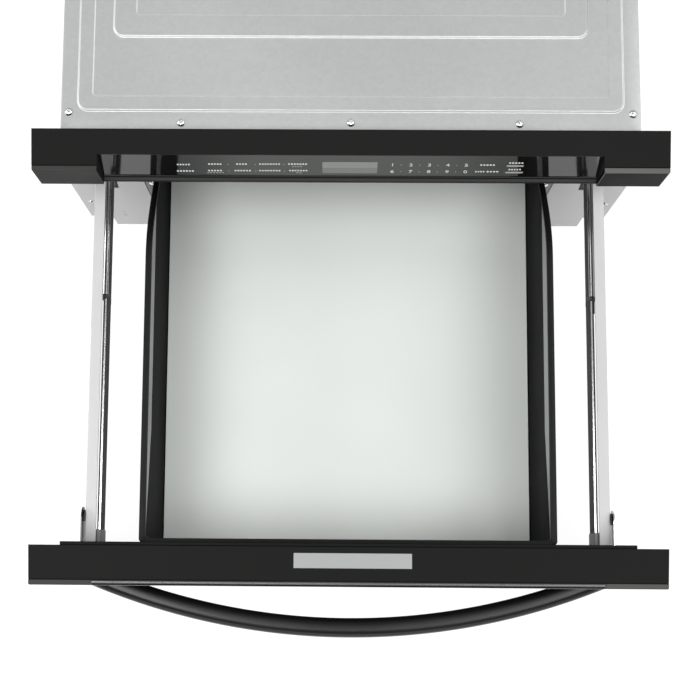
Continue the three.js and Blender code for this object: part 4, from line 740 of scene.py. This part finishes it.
# Places in mm. The cover's lie across from the middle and in from the flanges or the rear edge, and the next
# three across and down from the header's top. Rows are heights, and columns run along the depth.
screwPlaces = {
    "cover": [(-272.4, 23.3), (-163.4, 13), (0.8, 13.6), (163.4, 13), (272.4, 23.3)], "coverSize": 1.22,
    "flange": (290, 285), "mouthDome": (209.5, 198.5), "domeRadius": 4.7, "domeRise": 3.4, "domePocket": 5.4,
    "mouthSmall": (200.5, 205.5), "smallSize": 0.8, "smallPocket": 3.5,
    "backInset": 8, "backRows": (40, 180, 320), "backSize": 0.62,
    "sideRows": (40, 330), "sideColumns": (-230, 0, 230),
}


def atBothSides(place):
    # Left and right seats on the flanges' face.
    across, drop = place
    y, z = low("front_frame")[1], high("header_shell")[2] - drop * mm
    return [(side * across * mm, y, z) for side in (-1, 1)]


def addFasteners():
    p = screwPlaces
    front, rear = low("front_frame")[1], high("top_cover")[1]
    coverTop = low("top_cover")[2] + coverSizes["lip"]
    places = [(x * mm, front + y * mm, coverTop) for x, y in p["cover"]]
    places += [(x * mm, rear - y * mm, coverTop) for x, y in p["cover"]]
    makeScrews("cover_screws", places, (0, 0, 1), p["coverSize"], "screwSteel")
    makeScrews("flange_screws", atBothSides(p["flange"]), (0, -1, 0))
    rings = domeRings(p["domeRadius"] * mm, p["domeRise"] * mm)
    parts = [ringParts(facing(rings, seat, (0, -1, 0))) for seat in atBothSides(p["mouthDome"])]
    domes = outwards(joinedMesh("mouth_domes", parts, 50))
    finishPiece(domes, "cabinet", "screwSteel", "bright_steel")
    makeScrews("mouth_screws", atBothSides(p["mouthSmall"]), (0, -1, 0), p["smallSize"])
    edge, backY, _ = high("back_panel") - np.array([p["backInset"] * mm, 0, 0])
    places = [(side * edge, backY, z * mm) for z in p["backRows"] for side in (-1, 1)]
    makeScrews("back_screws", places, (0, 1, 0), p["backSize"])
    for side, node, x in ((-1, "left_side_panel", low("left_side_panel")[0]),
                          (1, "right_side_panel", high("right_side_panel")[0])):
        places = [(x, y * mm, z * mm) for y in p["sideColumns"] for z in p["sideRows"]]
        makeScrews(node + "_screws", places, (side, 0, 0))


def slabMesh(name, corners, thickness, normal=(0, 0, 1)):
    # A thin plate: its outline, and the same outline carried along the normal.
    outline = np.array(corners)
    raised = outline + np.array(normal) * thickness
    return outwards(skinRings(name, np.array([outline, raised]), sharpAngle=30))


labelSizes = inMm(left=-51.2, right=60.5, front=411.6, back=397.5, thickness=0.25)


def makeLabel():
    s = labelSizes
    flangeY, z = low("front_frame")[1], high("drawer_shell")[2]
    corners = rectangle(s["left"], s["right"], flangeY - s["front"], flangeY - s["back"], z)
    piece = slabMesh("label_plate_blank", corners, s["thickness"])
    finishPiece(piece, "drawer", "labelPlate", "bright_steel")


# Places on the control glass, in mm: x from the middle, and the drop down the glass from its top edge. Below
# flareStart the glass curves out to the header's front edge.
legendSizes = {
    "run": 9.8, "rise": 45.6, "contact": 0.02, "lift": 0.12, "seamRow": 44.3, "displayHalf": 26.4,
    "displayRows": (13.1, 24.7, 36.0), "flareStart": 41, "flareReach": 3.5,
    "markHeight": 3.1, "dash": 2.0, "dashGap": 0.75, "dotSize": 1.2,
    "keyX": 40.8, "keyPitch": 17.65, "keyHeight": 5.6, "upperRow": 18.8, "lowerRow": 32.5,
    "digitScale": 1.38, "digitWeight": 0.04, "digitRelief": 0.05, "digitLift": 0.07,
    "marks": [(-136.1, -123.1, 18.4), (-109.2, -98.7, 18.2), (-87.1, -67.0, 18.0), (-59.3, -41.1, 17.7),
              (-137.1, -123.5, 31.9), (-111.4, -95.5, 31.7), (-87.7, -67.0, 31.5), (-58.7, -40.9, 31.2),
              (-166.1, -153.6, 19.6), (-167.3, -150.8, 33.0), (124.4, 138.7, 18.0), (120.8, 129.9, 31.8),
              (131.8, 143.4, 31.7), (151.6, 165.4, 13.7), (152.5, 164.5, 27.1)],
    "bars": [(149.9, 166.6, 19.8), (149.8, 167.2, 33.4)],
    "faintMarks": [(-55.6, -46.0, 22.9), (-138.4, -121.9, 36.2), (-52.1, -46.7, 35.8)],
    "faintDots": [-117.1, -90.9, -63.4, 49.1, 66.8, 84.4, 102.1],
}


def onGlass(x, drop, lift):
    # A point of the control glass: along its width, down its slope and out of its face. The flare grows with
    # the square of the distance below its start.
    s = legendSizes
    slope = math.hypot(s["run"], s["rise"])
    top = high("control_glass")[2]
    front = high("control_glass")[1] - glassSizes["topInset"]
    x, drop = np.asarray(x), np.asarray(drop)
    flare = s["flareReach"] * (np.clip(drop - s["flareStart"], 0, None) / (slope - s["flareStart"])) ** 2
    y = front - s["run"] * mm * drop / slope - flare * mm - lift * s["rise"] / slope * mm
    z = top - s["rise"] * mm * drop / slope + lift * s["run"] / slope * mm
    return np.stack(np.broadcast_arrays(x * mm, y, z), axis=-1)


def flatMark(x0, x1, drop, height):
    # A rounded mark: two half circles joined by straight sides, raised a little off the glass.
    s = legendSizes
    r = min(height, x1 - x0) / 2
    turn = np.linspace(-math.pi / 2, math.pi / 2, 7)
    xs = np.concatenate([x1 - r + r * np.cos(turn), x0 + r - r * np.cos(turn)])
    drops = drop + height / 2 * np.concatenate([np.sin(turn), -np.sin(turn)])
    return ringParts(np.stack([onGlass(xs, drops, s["contact"]), onGlass(xs, drops, s["lift"])]))


def dashes(x0, x1, drop, height):
    # A row of short upright marks of even width that fills the length.
    s = legendSizes
    count = max(2, round((x1 - x0 + s["dashGap"]) / (s["dash"] + s["dashGap"])))
    pitch = (x1 - x0 + s["dashGap"]) / count
    return [flatMark(x0 + i * pitch, x0 + (i + 1) * pitch - s["dashGap"], drop, height) for i in range(count)]


def digitMesh(body, x, drop, height):
    # A plain number from Blender's own typeface, made a mesh and laid on the glass.
    s = legendSizes
    curve = bpy.data.curves.new("digit", "FONT")
    curve.body = body
    curve.align_x = "CENTER"
    curve.align_y = "CENTER"
    curve.size = height * s["digitScale"]
    curve.offset = s["digitWeight"]
    curve.extrude = s["digitRelief"]
    curve.resolution_u = 4
    shape = bpy.data.objects.new("digit", curve)
    mesh = bpy.data.meshes.new_from_object(shape)
    flat = readTriples(mesh.vertices, "co")
    points = onGlass(x + flat[:, 0], drop - flat[:, 1], flat[:, 2] + s["digitLift"])
    faces = [list(face.vertices) for face in mesh.polygons]
    bpy.data.objects.remove(shape)
    bpy.data.curves.remove(curve)
    bpy.data.meshes.remove(mesh)
    return points, faces


def makeLegends():
    s = legendSizes
    marks = [part for x0, x1, drop in s["marks"] for part in dashes(x0, x1, drop, s["markHeight"])]
    faint = [part for x0, x1, drop in s["faintMarks"] for part in dashes(x0, x1, drop, s["markHeight"] / 2)]
    faint += [flatMark(x0, x1, drop, s["markHeight"]) for x0, x1, drop in s["bars"]]
    faint += [flatMark(x - s["dotSize"] / 2, x + s["dotSize"] / 2, row, s["dotSize"])
              for x in s["faintDots"] for row in (s["upperRow"], s["lowerRow"])]
    digits = []
    for index, number in enumerate("1234567890"):
        row = s["upperRow"] if index < 5 else s["lowerRow"]
        digits.append(digitMesh(number, s["keyX"] + s["keyPitch"] * (index % 5), row, s["keyHeight"]))
    for name, parts, finish in (("key_marks", marks, "legend"), ("key_faint_marks", faint, "legendDim"),
                                ("key_digits", digits, "legend")):
        finishPiece(joinedMesh(name, parts, 30), "cabinet", finish, "white_plastic")


seamSizes = {"share": 0.6, **inMm(width=1.3, thickness=0.04, endGap=0.5)}


def makeSeamShades():
    # Dark strips laid along the joints between the shells' tops and the plates in front of them: painted
    # shade of the gaps.
    s = seamSizes
    joints = [("left_header_seam", "left_header_plate", "header_shell", "cabinet"),
              ("right_header_seam", "right_header_plate", "header_shell", "cabinet"),
              ("fascia_seam", "front_fascia", "drawer_shell", "drawer")]
    for name, plate, shell, body in joints:
        y1 = high(plate)[1] + s["width"] * s["share"]
        x0, x1 = low(plate)[0] + s["endGap"], high(plate)[0] - s["endGap"]
        corners = rectangle(x0, x1, y1 - s["width"], y1, high(shell)[2])
        seam = slabMesh(name, corners, s["thickness"])
        finishPiece(seam, body, "glassSeam", "black_plastic")


glassSizes = {"seam": 0.9, "seamInset": 0.5, **inMm(topInset=2.8, footInset=2.7, round=0.3, plate=0.2)}


def makeControlGlass():
    # The face runs from the glass's top edge down the slope and out to the header's front edge. The back is
    # that of the CAD glass. The display's two tones, and a dark strip of painted shade in the joint above the
    # foot, lie on the face.
    s, g = legendSizes, glassSizes
    lowest, highest = low("control_glass"), high("control_glass")
    slope = math.hypot(s["run"], s["rise"])
    face = onGlass(0, np.concatenate([[0], np.linspace(s["flareStart"], slope, 13)]), 0)[:, 1:]
    section = np.concatenate([face, [[lowest[1] + g["footInset"], face[-1, 1]], [highest[1], face[0, 1]]]])
    rings = np.array([np.column_stack([np.full(len(section), x), section]) for x in (lowest[0], highest[0])])
    piece = outwards(skinRings("control_glass_face", rings, sharpAngle=30))
    roundEdges(piece, g["round"], 40)
    finishPiece(piece, "cabinet", "blackGlass", slotOf["control_glass"], ["control_glass"])
    # The upward faces of the flare at the foot get the lighter finish: painted highlight.
    secondFinish(piece, "glassFoot", faceTable(piece)[1][:, 2] > 0.5)

    normal = np.array([0, -s["rise"], s["run"]]) / slope
    half, wide, seamRow = highest[0] / mm - g["seamInset"], s["displayHalf"], s["seamRow"]
    upper, middle, foot = s["displayRows"]
    display = slotOf["display_window"]
    for name, x, top, bottom, finish, slotName, replaced in (
            ("control_glass_seam", half, seamRow - g["seam"], seamRow, "glassSeam", "black_plastic", ()),
            ("display_upper", wide, upper, middle, "displayGlass", display, ["display_window"]),
            ("display_lower", wide, middle, foot, "displayDim", display, ())):
        corners = onGlass([-x, x, x, -x], [top, top, bottom, bottom], s["contact"])
        plate = slabMesh(name, corners, g["plate"], normal)
        finishPiece(plate, "cabinet", finish, slotName, replaced)


# CAD nodes shown with rounded edges: the finish, and the width of the rounding in mm.
softNodes = {
    "header_shell": ("blackSteel", 0.5), "left_header_plate": ("blackSteelUpright", 0.7),
    "right_header_plate": ("blackSteelShade", 0.7), "drawer_shell": ("drawerTop", 0.5),
    "front_fascia": ("blackSteelUpright", 0.7), "inner_panel": ("panelBlack", 0.6),
    "glass_floor": ("floorGlass", 0.6), "base_pan": ("palePaint", 0.4), "front_frame": ("palePaint", 0.3),
}
pairNodes = {
    "side_arm": ("armPaint", 0.5), "drawer_rail": ("slideSteel", 0.45), "cabinet_rail": ("zincSteel", 0.4),
    "rail_block": ("greyPlastic", 0.6), "front_bracket": ("brightSteel", 0.35),
    "bracket_cap": ("blackPlastic", 0.8), "slot_guard": ("panelBlack", 0.4),
    "side_panel": ("galvanised", 0.3),
}
for hand in ("left_", "right_"):
    softNodes.update({hand + node: look for node, look in pairNodes.items()})
# The left bracket gets the dark copy of the bright steel: painted shade.
softNodes["left_front_bracket"] = ("darkSteel", 0.35)  # darker than the right one


def cutPockets(panel):
    # Holes through the inner panel, where the round heads beside the cavity's mouth sit when it is shut.
    p = screwPlaces
    y0, y1 = low("inner_panel")[1] - 1 * mm, high("inner_panel")[1] + 1 * mm
    turn = wholeTurn(32)
    parts = []
    for place, radius in ((p["mouthDome"], p["domePocket"]), (p["mouthSmall"], p["smallPocket"])):
        for x, _, z in atBothSides(place):
            ring = np.column_stack([x + radius * mm * np.cos(turn), np.zeros(len(turn)),
                                    z + radius * mm * np.sin(turn)])
            parts.append(ringParts(np.stack([ring + np.array([0, y, 0]) for y in (y0, y1)])))
    cutter = outwards(joinedMesh("pocket_cutter", parts))
    bevel = panel.modifiers["rounded edges"]
    bevel.show_viewport = False
    cut = panel.modifiers.new("pockets", "BOOLEAN")
    cut.operation = "DIFFERENCE"
    cut.object = cutter
    cut.use_self = True
    bpy.context.view_layer.update()
    shape = bpy.data.meshes.new_from_object(panel.evaluated_get(bpy.context.evaluated_depsgraph_get()))
    panel.modifiers.remove(cut)
    panel.data = shape
    bevel.show_viewport = True
    bpy.data.objects.remove(cutter)


def paintEdgeHighlights():
    # The plates' top edges and rounded edges get a painted highlight: dimmer on the left plate, brighter on
    # the right one. The fascia's edge is cut where the trim strip ends, and the painted highlight on its left
    # end is dimmer.
    fascia, stripEnd = softPieces["front_fascia"], low("front_trim_strip")[0]
    editMesh(fascia.data, lambda bm: bmesh.ops.bisect_plane(
        bm, geom=bm.verts[:] + bm.edges[:] + bm.faces[:], plane_co=(stripEnd, 0, 0), plane_no=(1, 0, 0)))
    for node, finish in (("left_header_plate", "plateEdgeDim"), ("right_header_plate", "plateEdgeBright"),
                         ("front_fascia", "plateEdge")):
        piece = softPieces[node]
        secondFinish(piece, finish, faceTable(piece)[1][:, 2] > 0.7)
        # The rounded edges take the painted highlight too.
        piece.modifiers[0].material = 1
    middles, normals = faceTable(fascia)
    secondFinish(fascia, "plateEdgeDim", (normals[:, 2] > 0.7) & (middles[:, 0] < stripEnd))


slotSizes = inMm(x=244, z=165, newX=250.5, newZ=170, guardShift=5)


def fitSlides():
    # The foot of each slide slot in the front frame is carried outwards and up, clear of the rails, and its
    # guard moves outwards with it. The inner faces of the drawer rails' webs get a dark finish: painted
    # shade.
    s = slotSizes
    frontFrame = softPieces["front_frame"].data
    points = readTriples(frontFrame.vertices, "co")
    foot = np.abs(points[:, 2] - s["z"]) < 0.5 * mm
    inner = foot & (np.abs(np.abs(points[:, 0]) - s["x"]) < 0.5 * mm)
    points[inner, 0] = np.sign(points[inner, 0]) * s["newX"]
    points[foot & (np.abs(points[:, 0]) > s["x"] - 1 * mm), 2] = s["newZ"]
    frontFrame.vertices.foreach_set("co", points.ravel())
    frontFrame.update()
    print("slot corners moved:", int(inner.sum()))
    for hand, inward in (("left", 1), ("right", -1)):
        shift = Matrix.Translation((-inward * s["guardShift"], 0, 0))
        softPieces[hand + "_slot_guard"].data.transform(shift)
        rail = softPieces[hand + "_drawer_rail"]
        secondFinish(rail, "slideWeb", faceTable(rail)[1][:, 0] * inward > 0.9)


def finishOf(slotName):
    # The finish whose name has the same words as the slot: black_steel is blackSteel.
    first, *others = slotName.split("_")
    return finishes[first + "".join(word.capitalize() for word in others)]


slotOf = {row["node"]: row["material_slot"] for row in frame["record"]["subparts"]}
makeBowHandle()
makeBin()
makeCover()
addFasteners()
makeLabel()
makeLegends()
makeControlGlass()
makeSeamShades()
makeTrim()
makeMiddleRails()
print("own pieces made")

softPieces = {}
for node, (finish, width) in softNodes.items():
    softPieces[node] = softEdges(node, finish, slotOf[node], width)
paintEdgeHighlights()
cutPockets(softPieces["inner_panel"])
fitSlides()

for node, cadNode in nodes.items():
    if cadNode.hide_render:
        continue
    material = finishOf(slotOf[node])
    for slot in cadNode.material_slots:
        slot.material = material
    if not cadNode.material_slots:
        cadNode.data.materials.append(material)
print("nodes finished")

floorLook = {"half": 6, "gap": 0.5 * mm, "lit": 0.8, "faint": 0.22, "glow": 0.86}


def makeFloor():
    # The floor lights the scene as a plain pale surface, but the camera and glossy or clear pieces see it as
    # a faint surface with a glow of its own, so that the picture's ground is even.
    s = floorLook
    corners = rectangle(-s["half"], s["half"], -s["half"], s["half"], cadBox[0].z - s["gap"])
    floor = meshObject("studio_floor", np.array(corners), [[0, 1, 2, 3]])
    material = bpy.data.materials.new("pale floor")
    material.use_nodes = True
    tree = material.node_tree
    tree.nodes.clear()
    output = addNode(tree, "OutputMaterial")
    lit, faint = (addNode(tree, "BsdfDiffuse", {"Color": (s[tone], s[tone], s[tone], 1)})
                  for tone in ("lit", "faint"))
    glow = addNode(tree, "Emission", {"Strength": s["glow"]})
    both = addNode(tree, "AddShader")
    seen = addNode(tree, "LightPath")
    mirror, clear = (addNode(tree, "Math", operation="MAXIMUM") for _ in range(2))
    mix = addNode(tree, "MixShader")
    wire(tree, (seen, "Is Camera Ray", mirror, 0), (seen, "Is Glossy Ray", mirror, 1), (mirror, 0, clear, 0),
         (seen, "Is Transmission Ray", clear, 1), (clear, 0, mix, "Fac"), (faint, 0, both, 0),
         (glow, 0, both, 1), (lit, 0, mix, 1), (both, 0, mix, 2), (mix, 0, output, "Surface"))
    floor.data.materials.append(material)


skyStrength = 0.36
softboxes = {  # place, target, size across and up, and power in watts
    "left softbox": ((-2.3, -0.2, 1.5), (0, -0.2, 0.2), (1.2, 1.4), 28),
    "right softbox": ((1.9, 0.1, 2.3), (0, -0.2, 0.2), (1.4, 1.8), 30),
    "left front softbox": ((-0.85, -0.95, 2.75), (0, -0.45, 0.1), (1.2, 0.9), 37),
    "right front softbox": ((0.85, -0.95, 2.75), (0, -0.45, 0.1), (1.2, 0.9), 27),
    "front softbox": ((0, -2.7, 0.75), (0, -0.7, 0.2), (2.6, 0.9), 18),
}


def makeLights():
    world = bpy.data.worlds.new("studio")
    bpy.context.scene.world = world
    world.use_nodes = True
    sky = world.node_tree.nodes["Background"]
    sky.inputs["Color"].default_value = (1, 1, 1, 1)
    sky.inputs["Strength"].default_value = skyStrength
    for name, (place, target, size, power) in softboxes.items():
        lamp = bpy.data.lights.new(name, "AREA")
        lamp.shape = "RECTANGLE"
        lamp.size, lamp.size_y = size
        lamp.energy = power
        box = addObject(name, lamp)
        box.location = place
        box.rotation_euler = (Vector(target) - Vector(place)).to_track_quat("-Z", "Y").to_euler()


cameraPlace = {
    "place": (-13.3 * mm, -702.35 * mm, 1830.9 * mm), "tilt": 8.586, "roll": 0.449, "side": 0.741,
    "focalPixels": 1562.2, "picture": 700, "principalX": 315, "sensor": 36,
}


def makeCamera():
    # The camera looks nearly straight down; its turn is side * tilt * roll, as matrices.
    c = cameraPlace
    data = bpy.data.cameras.new("camera")
    data.sensor_width = c["sensor"]
    data.lens = c["focalPixels"] * data.sensor_width / c["picture"]
    data.shift_x = (c["picture"] / 2 - c["principalX"]) / c["picture"]
    camera = addObject("camera", data)
    side, tilt, roll = (Matrix.Rotation(math.radians(c[key]), 4, axis)
                        for key, axis in (("side", "Y"), ("tilt", "X"), ("roll", "Z")))
    camera.matrix_world = Matrix.Translation(c["place"]) @ side @ tilt @ roll
    bpy.context.scene.camera = camera


makeFloor()
makeLights()
makeCamera()
bpy.context.scene.view_settings.view_transform = "Standard"
print("stage made")
